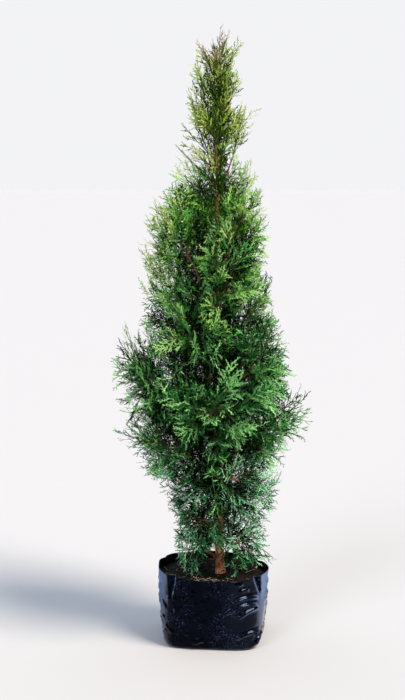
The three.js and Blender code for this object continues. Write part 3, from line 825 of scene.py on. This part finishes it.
def grow_crown():
    """The woody twigs and the sprays of the whole crown, the sprays as one table of arrays."""
    twigs, sprays = [], grow_limb_shoots()
    for mass in MASSES:
        mass_twigs, mass_sprays = grow_mass(mass)
        fill_mass(mass, mass_sprays)
        twigs += mass_twigs
        sprays += mass_sprays
    keys = ("root", "direction", "side", "normal", "length", "arch", "bend", "teeth", "reach")
    table = {key: np.array([getattr(spray, key) for spray in sprays]) for key in keys}
    for key in ("open", "size", "frond", "finger"):
        table[key] = np.array([getattr(spray.habit, key) for spray in sprays], float)
    return twigs, Sizes(**table)


# Finer than the solids: fronds along the ribs and teeth, and leafy fingers along the fronds

RANDOM = np.random.default_rng(SEED)


def dealt_along(rule, count, whole, degrees):
    """A count of small parts along each bearer, left and right in turn: each one's bearer, how far along it
    stands, its size and its angle."""
    bearer = np.repeat(np.arange(len(count)), count)
    many = len(bearer)
    turn = np.arange(many) - np.repeat(np.cumsum(count) - count, count)
    share = rule.first + rule.run * (turn + RANDOM.uniform(0, rule.uneven, many)) / count[bearer]
    size = lerp(*rule.shares, share) * whole[bearer]
    size = np.clip(size * RANDOM.uniform(*rule.vary, many), *rule.lengths)
    lean = np.radians(degrees[bearer]) * RANDOM.uniform(*rule.lean_vary, many) * np.where(turn % 2, 1, -1)
    return bearer, share, size, lean


def spray_axes(table):
    """Each spray's rib and teeth: the spray's number, where the axis starts, its angle and its length."""
    count = len(table.length)
    rows = [(np.arange(count), 0 * table.length, np.zeros(count), table.length)]
    for share, side, reach in spray_teeth(table):
        rows.append((np.arange(count), share * table.length, np.full(count, side * TOOTH_ANGLE), reach))
    return [np.concatenate(values) for values in zip(*rows)]


def axis_points(table, axes, which, distance):
    spray, start, angle, _ = axes
    along = start[which] + distance * np.cos(angle[which])
    return spray_points(picked(table, spray[which]), along, distance * np.sin(angle[which]))


def grow_fronds(table, axes):
    """Side fronds left and right in turn along each axis, and one at its end."""
    spray, start, angle, length = axes
    habit = picked(table, spray)
    count = np.maximum(2, np.round(length / FROND.spacing / habit.open)).astype(int)
    whole = np.minimum(length, FROND.longest_axis)
    axis, share, size, lean = dealt_along(FROND, count, whole, habit.frond)
    end_size = np.clip(FROND.end_share * length, *FROND.end_lengths)
    distance = np.concatenate([share * length[axis], length - FROND.end_overlap * end_size])
    size = np.concatenate([size * habit.size[axis], end_size])
    axis = np.concatenate([axis, np.arange(len(length))])
    lean = column(np.concatenate([lean, np.zeros(len(length))]) + angle[axis])
    which = spray[axis]
    tilt = column(np.radians(FROND.tilt) * RANDOM.normal(size=len(axis)))
    along = start[axis] + distance * np.cos(angle[axis])
    bearer = picked(table, which)
    slope = column(2 * along / bearer.length)
    heading = bearer.direction * np.cos(lean) + bearer.side * np.sin(lean)
    heading = heading + bearer.normal * (np.tan(tilt) + slope * column(bearer.arch))
    heading = unit(heading + UP * slope * column(bearer.bend))
    side = unit(np.cross(bearer.normal, heading))
    roll = column(np.radians(FROND.roll) * RANDOM.normal(size=len(axis)))
    side = side * np.cos(roll) + np.cross(heading, side) * np.sin(roll)
    fronds = Sizes(
        spray=which,
        root=axis_points(table, axes, axis, distance),
        heading=heading,
        side=side,
        normal=np.cross(heading, side),
        length=size,
        outer=along / bearer.length,
        open=bearer.open,
        finger=bearer.finger,
        reach=FROND.within * bearer.reach,
    )
    tips = fronds.root + heading * column(size)
    middles = fronds.root + heading * column(FROND.middle * size)
    keep = in_reach(tips, fronds.reach) & clear_of_limbs(tips) & clear_of_limbs(middles)
    return picked(fronds, keep)


def frond_shapes(fronds):
    """A frond's own axis: a narrow ridged ribbon with a pointed tip."""
    root, heading, side, normal = fronds.root, fronds.heading, fronds.side, fronds.normal
    length = column(fronds.length)
    half = FROND.width / 2
    middle = root + heading * FROND.middle * length
    points = [
        root - side * FROND.foot_width * half,
        root + side * FROND.foot_width * half,
        middle - side * half,
        middle + normal * FINGER.ridge,
        middle + side * half,
        root + heading * length,
    ]
    return np.stack(points, axis=1)


FROND_FACES = [(0, 1, 3), (0, 3, 2), (1, 4, 3), (2, 3, 5), (3, 4, 5)]


def grow_fingers(fronds):
    """Leafy fingers left and right in turn along each frond, in its plane."""
    count = np.maximum(3, np.round(fronds.length / (FINGER.spacing * np.sqrt(fronds.open)))).astype(int)
    frond, share, size, lean = dealt_along(FINGER, count, fronds.length, fronds.finger)
    lean = column(lean)
    tilt = column(np.radians(FINGER.tilt) * RANDOM.normal(size=len(frond)))
    bearer = picked(fronds, frond)
    ahead = bearer.heading * np.cos(lean) + bearer.side * np.sin(lean) + bearer.normal * np.tan(tilt)
    ahead = unit(ahead)
    root = bearer.root + bearer.heading * column(share * bearer.length)
    keep = in_reach(root + ahead * column(size), FINGER.within * bearer.reach)
    return frond[keep], finger_shapes(root[keep], ahead[keep], bearer.normal[keep], size[keep])


def finger_shapes(root, ahead, normal, size):
    """A finger of scale leaves: a slim blade folded along its middle, widest past half its length."""
    side = unit(np.cross(normal, ahead))
    half = FINGER.width / 2
    middle = root + ahead * column(FINGER.widest * size) - normal * FINGER.ridge
    points = [root, middle - side * half, middle + side * half, root + ahead * column(size)]
    return np.stack(points, axis=1)


FINGER_FACES = [(0, 3, 1), (0, 2, 3)]


def tube_shapes(points, radii, sides):
    """Many tubes at once: their middle lines' points and radii. The last ring is drawn into a point."""
    heading = unit(np.gradient(points, axis=1))
    away = np.where(np.abs(heading[..., 2:]) > 0.9, [1.0, 0, 0], UP)
    across = unit(np.cross(heading, away))
    over = np.cross(heading, across)
    rings = []
    for i in range(sides):
        angle = 2 * pi * i / sides
        rings.append(points + radii[..., None] * (across * cos(angle) + over * sin(angle)))
    many, steps, _ = points.shape
    skin = np.stack(rings, axis=2)[:, :-1].reshape(many, (steps - 1) * sides, 3)
    faces = []
    for ring in range(steps - 2):
        for i in range(sides):
            a, b = ring * sides + i, ring * sides + (i + 1) % sides
            faces += [(a, b, b + sides), (a, b + sides, a + sides)]
    last, tip = (steps - 2) * sides, (steps - 1) * sides
    faces += [(last + i, last + (i + 1) % sides, tip) for i in range(sides)]
    return np.concatenate([skin, points[:, -1:]], axis=1), faces


RIB = Sizes(
    run=0.92, steps=(0, 0.4, 0.75, 1), taper=(1, 0.8, 0.6, 0.4), radii=(1.15, 0.75), beside_spray=110,
    limits=(0.7, 1.1),
)


def rib_tubes(table, axes):
    """The thin stems inside the sprays, along each rib and tooth, thicker on the ribs of long sprays."""
    spray, _, angle, length = axes
    which = np.arange(len(length))
    steps = [axis_points(table, axes, which, share * RIB.run * length) for share in RIB.steps]
    foot = np.where(angle == 0, *RIB.radii) * np.clip(table.length[spray] / RIB.beside_spray, *RIB.limits)
    return tube_shapes(np.stack(steps, axis=1), foot[:, None] * np.array(RIB.taper), 3)


# The crown's pieces

# Each frond's kind is dealt by how far out it stands, its spray's mood and a draw of its own: deep shade
# leaves within, darkened partly as painted shade where the crown shades itself, plain ones, and light new
# growth outside, lightened partly as painted light on the crown's outside. Older leaves have lost their wax.
# Each kind is a material of two shades, a little darker and a little lighter than its green, and some
# fingers are of the next kind
KINDS = {"deep": 0.04, "plain": 0.22, "light": 0.4}
KIND_FROM = [0.68, 0.95]
TONES = Sizes(mood=0.2, own=0.1, outer=0.3, patches=(0.82, 1.12), varied=0.24)


def shade_of(shade, change):
    """A shade made lighter or darker by a share."""
    parts = [int(shade[i : i + 2], 16) * change for i in (1, 3, 5)]
    return "#" + "".join(f"{int(min(255, part)):02x}" for part in parts)


def dress_crown():
    """The sprays of each part of the crown in its three greens, and their stems. It returns the twigs."""
    twigs, table = grow_crown()
    axes = spray_axes(table)
    fronds = grow_fronds(table, axes)
    frond, fingers = grow_fingers(fronds)
    ribbons = frond_shapes(fronds)
    count = len(table.length)
    middle = table.root + table.direction * column(0.5 * table.length)
    height = middle[:, 2] + RANDOM.normal(0, ZONE_BLUR, count)
    zone = np.searchsorted([settings["top"] for settings in ZONES.values()], height)[fronds.spray]
    kind = frond_kinds(fronds, RANDOM.normal(0, TONES.mood, count)[fronds.spray])
    varied = RANDOM.uniform(size=len(frond)) < TONES.varied
    finger_kind = np.clip(kind[frond] + varied * RANDOM.choice([-1, 1], len(frond)), 0, 2)
    for z, (zone_name, settings) in enumerate(ZONES.items()):
        nodes = [MASSES[i].name for i in settings["nodes"]]
        for k, (kind_name, shine) in enumerate(KINDS.items()):
            name = f"sprays_{zone_name}_{kind_name}"
            shades = [shade_of(settings["shades"][k], change) for change in TONES.patches]
            groups = [
                (ribbons[(zone == z) & (kind == k)], FROND_FACES),
                (fingers[(zone[frond] == z) & (finger_kind == k)], FINGER_FACES),
            ]
            joined_mesh(name, groups, leaf_material(name, *shades, shine), nodes)
    # The stems inside the sprays are a dark olive, darkened partly as painted shade within the crown
    stems = bark_material("spray_stem_bark", "#27331a", "#6a6a38", 6)
    joined_mesh("spray_stems", [rib_tubes(table, axes)], stems)
    return twigs


def frond_kinds(fronds, mood):
    """The number of each frond's kind of green."""
    x, y, z = (fronds.root + fronds.heading * column(fronds.length)).T
    radius = np.hypot(x, y)
    share = np.minimum(0.95, radius / reach_at(z, x / radius, y / radius))
    # Fronds further in take darker kinds, partly painted shade; fronds further out lighter ones, partly
    # painted light
    score = share + TONES.outer * (fronds.outer - 0.5) + mood + RANDOM.normal(0, TONES.own, len(share))
    return np.searchsorted(KIND_FROM, score)


# Limbs

# The trunk's relief: rings of old scale edges, which wander, and knots where twigs were cut
RINGS = Sizes(every=13, height=0.055, sharpness=5, wander=1.4, wander_over=31, skew=0.7, skew_over=50)
KNOT = Sizes(height=2.6, spread=16)
# Each knot's direction in degrees, and its height
KNOTS = [
    (-105, 178), (-35, 197), (140, 188), (-150, 214), (-70, 232),
    (60, 224), (-120, 262), (-20, 286), (175, 250),
]


def dress_trunk(bark):
    """The trunk: a skin of rings from its flared foot to its tip, with scales, rings and knots in it."""
    sides = 28
    heights = lerp(TRUNK.foot, TRUNK.tip, np.linspace(0, 1, 151) ** TRUNK.crowding)
    trunk = ring_skin("trunk_bark", sides, [(10, height) for height in heights])
    move_points(trunk, shape_trunk)
    close_ring(trunk, slice(0, sides), flat=True)
    close_ring(trunk, slice(-sides, None), flat=False)
    apply_modifier(trunk, "SUBSURF", {"levels": 1, "render_levels": 1, "subdivision_type": "SIMPLE"})
    # A guide drawn out along the trunk draws the scales out with it
    for kind, size, depth, stretch in (("CLOUDS", 9, 2.2, 1.6), ("VORONOI", 5, 1.3, 1.9)):
        guide = add_object("pattern_guide", None)
        guide.scale = (1, 1, stretch)
        bpy.context.view_layer.update()
        settings = {"texture_coords": "OBJECT", "texture_coords_object": guide}
        press_pattern(trunk, kind, size, depth, settings)
        bpy.data.objects.remove(guide)
    finish_piece(trunk, bark, ["trunk"])


def shape_trunk(points):
    """The trunk's taper, lean and lobed flare, with its rings and knots."""
    x, y, height = points.T
    angle = np.arctan2(y, x)
    radius = trunk_radius(height)
    lobes = 1 + TRUNK.lobe_depth * np.cos(TRUNK.flare_lobes * angle)
    radius = radius + TRUNK.flare * lobes * np.exp((TRUNK.foot - height) / TRUNK.flare_height)
    wander = RINGS.wander * np.sin(height / RINGS.wander_over)
    wander = wander + RINGS.skew * np.sin(angle + height / RINGS.skew_over)
    rings = np.clip(np.cos(2 * pi * height / RINGS.every + wander), 0, 1) ** RINGS.sharpness
    radius = radius * (1 + RINGS.height * rings)
    for degrees, knot in KNOTS:
        turn = angle_from(degrees, angle) * radius
        radius = radius + KNOT.height * np.exp(-(turn**2 + (height - knot) ** 2) / KNOT.spread)
    middle = trunk_point(height)
    return middle + np.stack([radius * np.cos(angle), radius * np.sin(angle), 0 * height], axis=-1)


def angle_from(degrees, angle):
    """How far angles lie from a direction in degrees, the shorter way round."""
    return np.angle(np.exp(1j * (angle - radians(degrees))))


def dress_boughs(bark, twigs):
    """The boughs with their collars at the trunk, and the woody stems and twigs that carry the sprays."""
    steps = np.linspace(0, 1, 22)
    lines = np.array([[curve_point(curve, t) for t in steps] for curve in BOUGH_CURVES])
    radii = lerp(*BOUGHS.radii, steps)[None].repeat(len(lines), 0)
    along = norm(lines - lines[:, :1])
    collar = 1 + BOUGHS.collar * np.exp(-along / BOUGHS.collar_run)
    radii = radii * collar * (1 + BOUGHS.uneven * RANDOM.normal(size=radii.shape))
    nodes = [f"bough_{i + 1:02d}" for i in range(len(lines))]
    joined_mesh("bough_bark", [tube_shapes(lines, radii, 9)], bark, nodes)
    stems = [[curve_point(mass.stem, t) for t in np.linspace(0, 1, 12)] for mass in MASSES]
    thin = [[lerp(*twig, t) for t in np.linspace(0, 1, 5)] for twig in twigs]
    groups = []
    for lines, limb, sides in ((stems, STEM, 7), (thin, TWIGS, 6)):
        lines = np.array(lines)
        many, steps, _ = lines.shape
        uneven = 1 + limb.uneven * RANDOM.normal(size=(many, steps))
        thick = lerp(*limb.radii, np.linspace(0, 1, steps)) * uneven
        groups.append(tube_shapes(lines, thick, sides))
    joined_mesh("twig_bark", groups, bark)


# The bag of film and the mix in it

# Pleats from the rim down: direction in degrees, width at the rim, depth and how far down they run
PLEATS = [(-137, 22, 15, 52), (-37, 22, 11, 44), (28, 26, 8, 60), (154, 24, 5, 58)]
# Creases across the film: direction and tilt in degrees, height, half length, and how far they stand out
CREASES = [
    (-64, 4, 158, 12, 2.6), (-58, 8, 143, 14, 3.0), (-57, 5, 124, 36, 3.9), (-62, 10, 106, 40, 3.9),
    (-55, 18, 93, 30, 3.7), (-56, 12, 42, 30, 3.6), (-48, 48, 18, 20, 3.0), (-42, 42, 24, 20, 3.0),
]
# Small creases drawn at random, but for the front right, which the big ones have to themselves
LOOSE_CREASES = Sizes(
    count=110, heights=(8, 150), halves=(5, 20), tilt=40, depths=(0.8, 2.4),
    clear_of=302, clear_by=26, past=60,
)
# The profile of a crease: a ridge with a soft upper edge and a faint furrow above it
CREASE = Sizes(width=5, curve=0.006, furrow=0.2, furrow_at=9, furrow_width=3)
BELLY = 2.2
PLEAT_END = 2.2
# The rim's waves, outwards and upwards: how many go round, their depth, and where they start in radians.
# Below the heights in LOOSE_FROM there are none
RIM_OUT = [(5, 1.8, 1), (11, 1.2, 2)]
RIM_UP = [(3, 1.3, 0), (8, 0.9, 0.6)]
LOOSE_FROM = Sizes(out=138, up=120)
# The mix presses lumps through the film between two heights, but less where it is pulled taut: at the sides
# and on the front to the right. A pattern is a size and a depth
LUMPS = Sizes(
    heights=(9, 150), sides=(86, 104), front=(26, 42), flattened=0.9, patterns=((16, 4.5), (7, 4.6))
)
FILM_THICKNESS = 0.5


def foot_power(share):
    """How square the bag is in plan at a share of its height: 2 is round, and more has corners."""
    return 2 + BAG.squareness * np.clip(1 - share, 0, 1) ** 1.5


def wall_radius(height):
    return lerp(BAG.foot_radius, BAG.rim_radius, height / BAG.rim_height)


def loose_creases():
    """The rows of the small creases, drawn at random."""
    draws = np.random.default_rng(SEED + 5)
    for _ in range(LOOSE_CREASES.count):
        turn, tall, half, lean, depth = draws.uniform(size=5)
        degrees = 360 * turn
        if abs((degrees - LOOSE_CREASES.clear_of + 180) % 360 - 180) < LOOSE_CREASES.clear_by:
            degrees += LOOSE_CREASES.past
        tilt = LOOSE_CREASES.tilt * (2 * lean - 1)
        size = lerp(*LOOSE_CREASES.halves, half), lerp(*LOOSE_CREASES.depths, depth)
        yield degrees, tilt, lerp(*LOOSE_CREASES.heights, tall), *size


def waves(rows, angle):
    return sum(depth * np.sin(count * angle + start) for count, depth, start in rows)


def film_offset(angle, height):
    """How far the film stands out of its plain wall: its belly, pleats and creases, and its wavy rim."""
    share = height / BAG.rim_height
    offset = BELLY * np.sin(pi * np.clip(share, 0, 1))
    radius = wall_radius(height)
    for degrees, width, depth, drop in PLEATS:
        across = angle_from(degrees, angle) * radius
        down = np.clip((BAG.rim_height - height) / drop, 0, 1)
        spread = lerp(width / 2.4, PLEAT_END, down)
        offset = offset - depth * (1 - down) ** 1.2 * np.exp(-((across / spread) ** 2))
    power = foot_power(share)
    bend = 0.7 * (power - 1) * 2 ** (1 / power) / radius
    for degrees, tilt, level, half, depth in [*CREASES, *loose_creases()]:
        across, up, lean = angle_from(degrees, angle) * radius, height - level, radians(tilt)
        along = across * cos(lean) + up * sin(lean)
        over = up * cos(lean) - across * sin(lean) + CREASE.curve * along**2
        fade = np.clip(1 - (along / half) ** 4, 0, 1)
        straight = depth + 0.5 * bend * along**2
        over_widths = over / CREASE.width
        ridge = np.where(over > 0, np.clip(1 - over_widths, 0, 1), np.exp(-(over_widths**2)))
        furrow = CREASE.furrow * np.exp(-(((over - CREASE.furrow_at) / CREASE.furrow_width) ** 2))
        offset = offset + straight * fade * (ridge - furrow)
    return offset + smooth(LOOSE_FROM.out, BAG.rim_height, height) * waves(RIM_OUT, angle)


def bag_place(angle, radius, height):
    """A place on the bag: its foot is squared by the gussets, turned and set a little to the right."""
    share = np.maximum(0, height) / BAG.rim_height
    power = foot_power(share)
    turned_by = angle + radians(BAG.foot_turn)
    reach = radius * (np.abs(np.cos(turned_by)) ** power + np.abs(np.sin(turned_by)) ** power) ** (-1 / power)
    tilt = -BAG.rim_dip * np.cos(angle) * share**4 * smooth(42, BAG.foot_radius, radius)
    x = reach * np.cos(angle) + BAG.foot_shift * (1 - share)
    depth = lerp(*BAG.depth_shares, np.minimum(1, share))
    return np.stack([x, reach * np.sin(angle) * depth, height + tilt], axis=-1)


def shape_film(points):
    x, y, height = points.T
    angle, radius = np.arctan2(y, x), np.hypot(x, y)
    radius = radius + smooth(3, 14, height) * film_offset(angle, height)
    rise = smooth(LOOSE_FROM.up, BAG.rim_height, height) * waves(RIM_UP, angle)
    return bag_place(angle, radius, height + rise)


def dress_bag(film):
    """The bag's film: rings up from the middle of its foot over the rounded edge to the rim, with lumps of
    the mix that press through it where it isn't taut."""
    edge = BAG.foot_rounding
    centre = BAG.foot_radius - edge
    rings = [(radius, 0.0) for radius in (8, 30, 55, 78, centre)]
    for turn in map(radians, (22, 45, 67, 90)):
        rings.append((centre + edge * sin(turn), edge * (1 - cos(turn))))
    rings += [(wall_radius(height), height) for height in np.linspace(15, BAG.rim_height, 82)]
    sides = 300
    bag = ring_skin("bag_film", sides, rings)
    close_ring(bag, slice(0, sides), flat=True)
    move_points(bag, shape_film)
    lumps = bag.vertex_groups.new(name="behind_the_film")
    low, high = LUMPS.heights
    for vertex in bag.data.vertices:
        if low * MM < vertex.co.z < high * MM:
            x, y, _ = vertex.co / MM
            taut = max(smooth(*LUMPS.sides, abs(x)), smooth(*LUMPS.front, x) * (y < 0))
            lumps.add([vertex.index], float(1 - LUMPS.flattened * taut), "REPLACE")
    for size, depth in LUMPS.patterns:
        settings = {"texture_coords": "LOCAL", "vertex_group": "behind_the_film"}
        press_pattern(bag, "CLOUDS", size, depth, settings)
    apply_modifier(bag, "SOLIDIFY", {"thickness": FILM_THICKNESS * MM, "offset": -1.0})
    bpy.ops.object.select_all(action="DESELECT")
    bag.select_set(True)
    bpy.ops.object.shade_smooth()
    finish_piece(bag, film, ["planter_bag"])


# The mix: its top's rings before they meet the film, the rings hidden below, how its level changes from the
# middle to the film and at the trunk, its roughness, and where crumbs and straws lie
MIX = Sizes(
    radius=121, rings=46, hidden=[(8, 3.0), (60, 3.0), (98, 3.0), (104, 60), (112, 110)], gap=1.6,
    rise=3.5, rise_over=(40, 80), fall=4.5, fall_over=(92, 122), heap=3.5, heap_radius=17,
    top_from=140, rough_from=138, patterns=((22, 5), (8, 4), (3.5, 2.4)), scatter_radius=119,
)


def soil_level(x, y):
    """The height of the mix's surface: lower towards the film and in the middle, and heaped at the trunk."""
    radius = np.hypot(x, y)
    from_trunk = np.hypot(x - TRUNK.foot_x, y)
    level = SOIL_HEIGHT + MIX.rise * smooth(*MIX.rise_over, radius)
    level = level - MIX.fall * smooth(*MIX.fall_over, radius)
    return level + MIX.heap * np.exp(-((from_trunk / MIX.heap_radius) ** 4))


def on_mix(angle, reach):
    """Places on the mix's surface."""
    x, y, _ = bag_place(angle, reach, np.full(len(angle), float(SOIL_HEIGHT))).T
    return np.stack([x, y, soil_level(x, y)], axis=-1)


def shape_mix(points):
    x, y, height = points.T
    angle, radius = np.arctan2(y, x), np.hypot(x, y)
    edge = wall_radius(SOIL_HEIGHT) + film_offset(angle, np.full_like(angle, SOIL_HEIGHT)) - MIX.gap
    on_top = height > MIX.top_from
    radius = np.where(on_top, radius / MIX.radius * edge, radius)
    height = np.where(on_top, soil_level(radius * np.cos(angle), radius * np.sin(angle)), height)
    return bag_place(angle, radius, height)


def dress_mix(earth):
    """The potting mix: a rough surface that meets the film all round, down to a hidden flat underside."""
    top = [(MIX.radius * (1 - i / MIX.rings), SOIL_HEIGHT) for i in range(MIX.rings)]
    sides = 180
    mix = ring_skin("mix_surface", sides, [*MIX.hidden, *top])
    close_ring(mix, slice(-sides, None), flat=False)
    close_ring(mix, slice(0, sides), flat=True)
    move_points(mix, shape_mix)
    rough = mix.vertex_groups.new(name="top")
    rough.add([v.index for v in mix.data.vertices if v.co.z > MIX.rough_from * MM], 1.0, "REPLACE")
    for size, depth in MIX.patterns:
        settings = {"texture_coords": "LOCAL", "direction": "Z", "vertex_group": "top"}
        press_pattern(mix, "CLOUDS", size, depth, settings)
    finish_piece(mix, earth, ["potting_mix"])


LUMP_FACES = [(0, 2, 4), (2, 1, 4), (1, 3, 4), (3, 0, 4), (2, 0, 5), (1, 2, 5), (3, 1, 5), (0, 3, 5)]


def scatter_crumbs(name, count, sizes, flatness, material):
    """Crumbs on the mix: eight-sided lumps, each drawn out in its own direction."""
    draws = np.random.default_rng(SEED + count)
    angle = draws.uniform(-pi, pi, count)
    places = on_mix(angle, 0.98 * np.sqrt(draws.uniform(0.02, 1, count)) * MIX.scatter_radius)
    size = draws.uniform(*sizes, count)
    corners = np.array([(1, 0, 0), (-1, 0, 0), (0, 1, 0), (0, -1, 0), (0, 0, 1), (0, 0, -1)], float)
    shapes = corners[None] * draws.uniform(0.5, 1.2, (count, 6, 1)) * size[:, None, None] * (1, 0.6, flatness)
    shapes = turned(shapes, draws.uniform(0, 2 * pi, count), draws.normal(0, 0.5, count))
    joined_mesh(name, [(shapes + places[:, None], LUMP_FACES)], material)


def turned(shapes, turn, tilt):
    """Shapes tilted about their own Y and turned about Z."""
    x, y, z = np.moveaxis(shapes, -1, 0)
    cosine, sine = np.cos(tilt)[:, None], np.sin(tilt)[:, None]
    x, z = x * cosine - z * sine, x * sine + z * cosine
    cosine, sine = np.cos(turn)[:, None], np.sin(turn)[:, None]
    return np.stack([x * cosine - y * sine, x * sine + y * cosine, z], axis=-1)


# Straws: where those in front lie in radians, how far out, and how long, how askew and how bowed they are
STRAW = Sizes(
    in_front=0.5, front=(-1.75, 0.45), reach=(0.8, 0.14), reach_limits=(0.2, 0.94), above=3.0,
    lengths=(8, 34), askew=1.1, tilt=0.3, bow=0.16, radii=(0.3, 0.6), within=120,
)


def scatter_straw(count, material):
    """Straws and dry twigs on the mix, half of them along the front edge, each a little bowed."""
    draws = np.random.default_rng(SEED + 77)
    in_front = draws.uniform(size=count) < STRAW.in_front
    angle = np.where(in_front, draws.normal(*STRAW.front, count), draws.uniform(-pi, pi, count))
    reach = MIX.scatter_radius * np.clip(draws.normal(*STRAW.reach, count), *STRAW.reach_limits)
    start = on_mix(angle, reach) + (0, 0, STRAW.above)
    length = draws.uniform(*STRAW.lengths, count)
    heading = angle + pi / 2 + draws.normal(0, STRAW.askew, count)
    flat = np.stack([np.cos(heading), np.sin(heading), draws.normal(0, STRAW.tilt, count)], axis=-1)
    bow = draws.normal(0, STRAW.bow, count)
    steps = np.linspace(-0.5, 0.5, 5)
    across = np.stack([-flat[:, 1], flat[:, 0], 0 * bow], axis=-1)
    points = start[:, None] + flat[:, None] * (steps[:, None] * length[:, None, None])
    points = points + across[:, None] * ((steps**2)[:, None] * (bow * length)[:, None, None] * 4)
    radii = draws.uniform(*STRAW.radii, count)[:, None] * np.ones(len(steps))
    inside = (np.hypot(points[..., 0], points[..., 1] / BAG.depth_shares[1]) < STRAW.within).all(1)
    joined_mesh("mix_straw", [tube_shapes(points[inside], radii[inside], 4)], material)


# The stage: a pale floor, soft light and the photograph's view

# In metres: far wider than the view, and a hair under the foot
FLOOR = Sizes(radius=300, under=0.0004)
# Its place in metres, how many degrees it looks down, and its sensor and lens in millimetres
CAMERA = Sizes(place=(-0.024, -2.8, 1.055), down=7.62, sensor=36, lens=62.95)


def build_stage():
    """A pale matt floor under the foot, and the light."""
    bpy.ops.object.select_all(action="DESELECT")
    under = (0, 0, -FLOOR.under)
    bpy.ops.mesh.primitive_circle_add(vertices=96, radius=FLOOR.radius, fill_type="NGON", location=under)
    floor = bpy.context.object
    floor.name = "floor"
    material, shader, _ = new_material("pale_floor", 0.9, 0.1)
    shader.inputs["Base Color"].default_value = linear("#d0cdca")
    floor.data.materials.append(material)
    build_room()
    add_sun("key", -32, 50, 3.6, 24, "#fff6ea")
    add_sun("fill", -125, 36, 1.0, 26, "#e4ecff")


def build_room():
    """A pale room, bright overhead and behind the plant and dim in front. The camera sees it evenly pale."""
    world = bpy.data.worlds.new("pale_room")
    bpy.context.scene.world = world
    world.use_nodes = True
    glow = world.node_tree.nodes["Background"]
    glow.inputs["Color"].default_value = linear("#d4e2f8")
    place = add_node(world, "TexCoord").outputs["Generated"]
    parts = add_node(world, "SeparateXYZ", {}, {"Vector": place}).outputs
    lit = []
    for side, limits in (("Y", (-0.1, 0.5, 0.05, 0.9)), ("Z", (0.5, 0.95, 0.0, 0.7))):
        node = add_node(world, "MapRange", dict(zip(GRADE, limits)), {"Value": parts[side]})
        lit.append(node.outputs["Result"])
    both = add_node(world, "Math", {"operation": "ADD"}, dict(enumerate(lit)))
    connect(world, glow, {"Strength": both.outputs["Value"]})
    seen = add_node(world, "Background", {"Color": linear("#f3f3f6"), "Strength": 1.0})
    direct = add_node(world, "LightPath").outputs["Is Camera Ray"]
    links = {0: direct, 1: glow.outputs["Background"], 2: seen.outputs["Background"]}
    chosen = add_node(world, "MixShader", {}, links)
    connect(world, world.node_tree.nodes["World Output"], {"Surface": chosen.outputs["Shader"]})


def add_sun(name, side, height, strength, softness, shade):
    """A soft far light from a side and a height, both in degrees."""
    light = bpy.data.lights.new(name, "SUN")
    light.energy = strength
    light.angle = radians(softness)
    light.color = linear(shade)[:3]
    add_object(name, light).rotation_euler = (radians(90 - height), 0, radians(side + 90))


def place_camera():
    """The photograph's view."""
    camera = add_object("camera", bpy.data.cameras.new("camera"))
    camera.location = CAMERA.place
    camera.rotation_euler = (radians(90 - CAMERA.down), 0, 0)
    camera.data.sensor_width = CAMERA.sensor
    camera.data.lens = CAMERA.lens
    bpy.context.scene.camera = camera


# Building
bpy.ops.object.select_all(action="DESELECT")
bpy.context.scene.view_settings.view_transform = "Standard"
bough_bark = bark_material("bough_bark_scales", "#7a4c32", "#c69468", 6)
dress_boughs(bough_bark, dress_crown())
# The trunk's orange-red bark is made much lighter than the boughs', partly as painted light against the
# crown's shade
dress_trunk(bark_material("trunk_bark_scales", "#e8683c", "#ffcb98", 7))
dress_bag(film_material())
dress_mix(earth_material("potting_mix", "#080604", "#1e140e", 7))
scatter_crumbs("mix_crumbs", 1500, (1.5, 5.0), 0.6, earth_material("bark_crumbs", "#120c08", "#3a281c", 4))
scatter_crumbs("mix_chips", 90, (2.0, 5.5), 0.25, earth_material("pale_chips", "#6d5842", "#b09c80", 4))
scatter_straw(64, earth_material("dry_straw", "#8a7558", "#d8c4a6", 3))
build_stage()
place_camera()
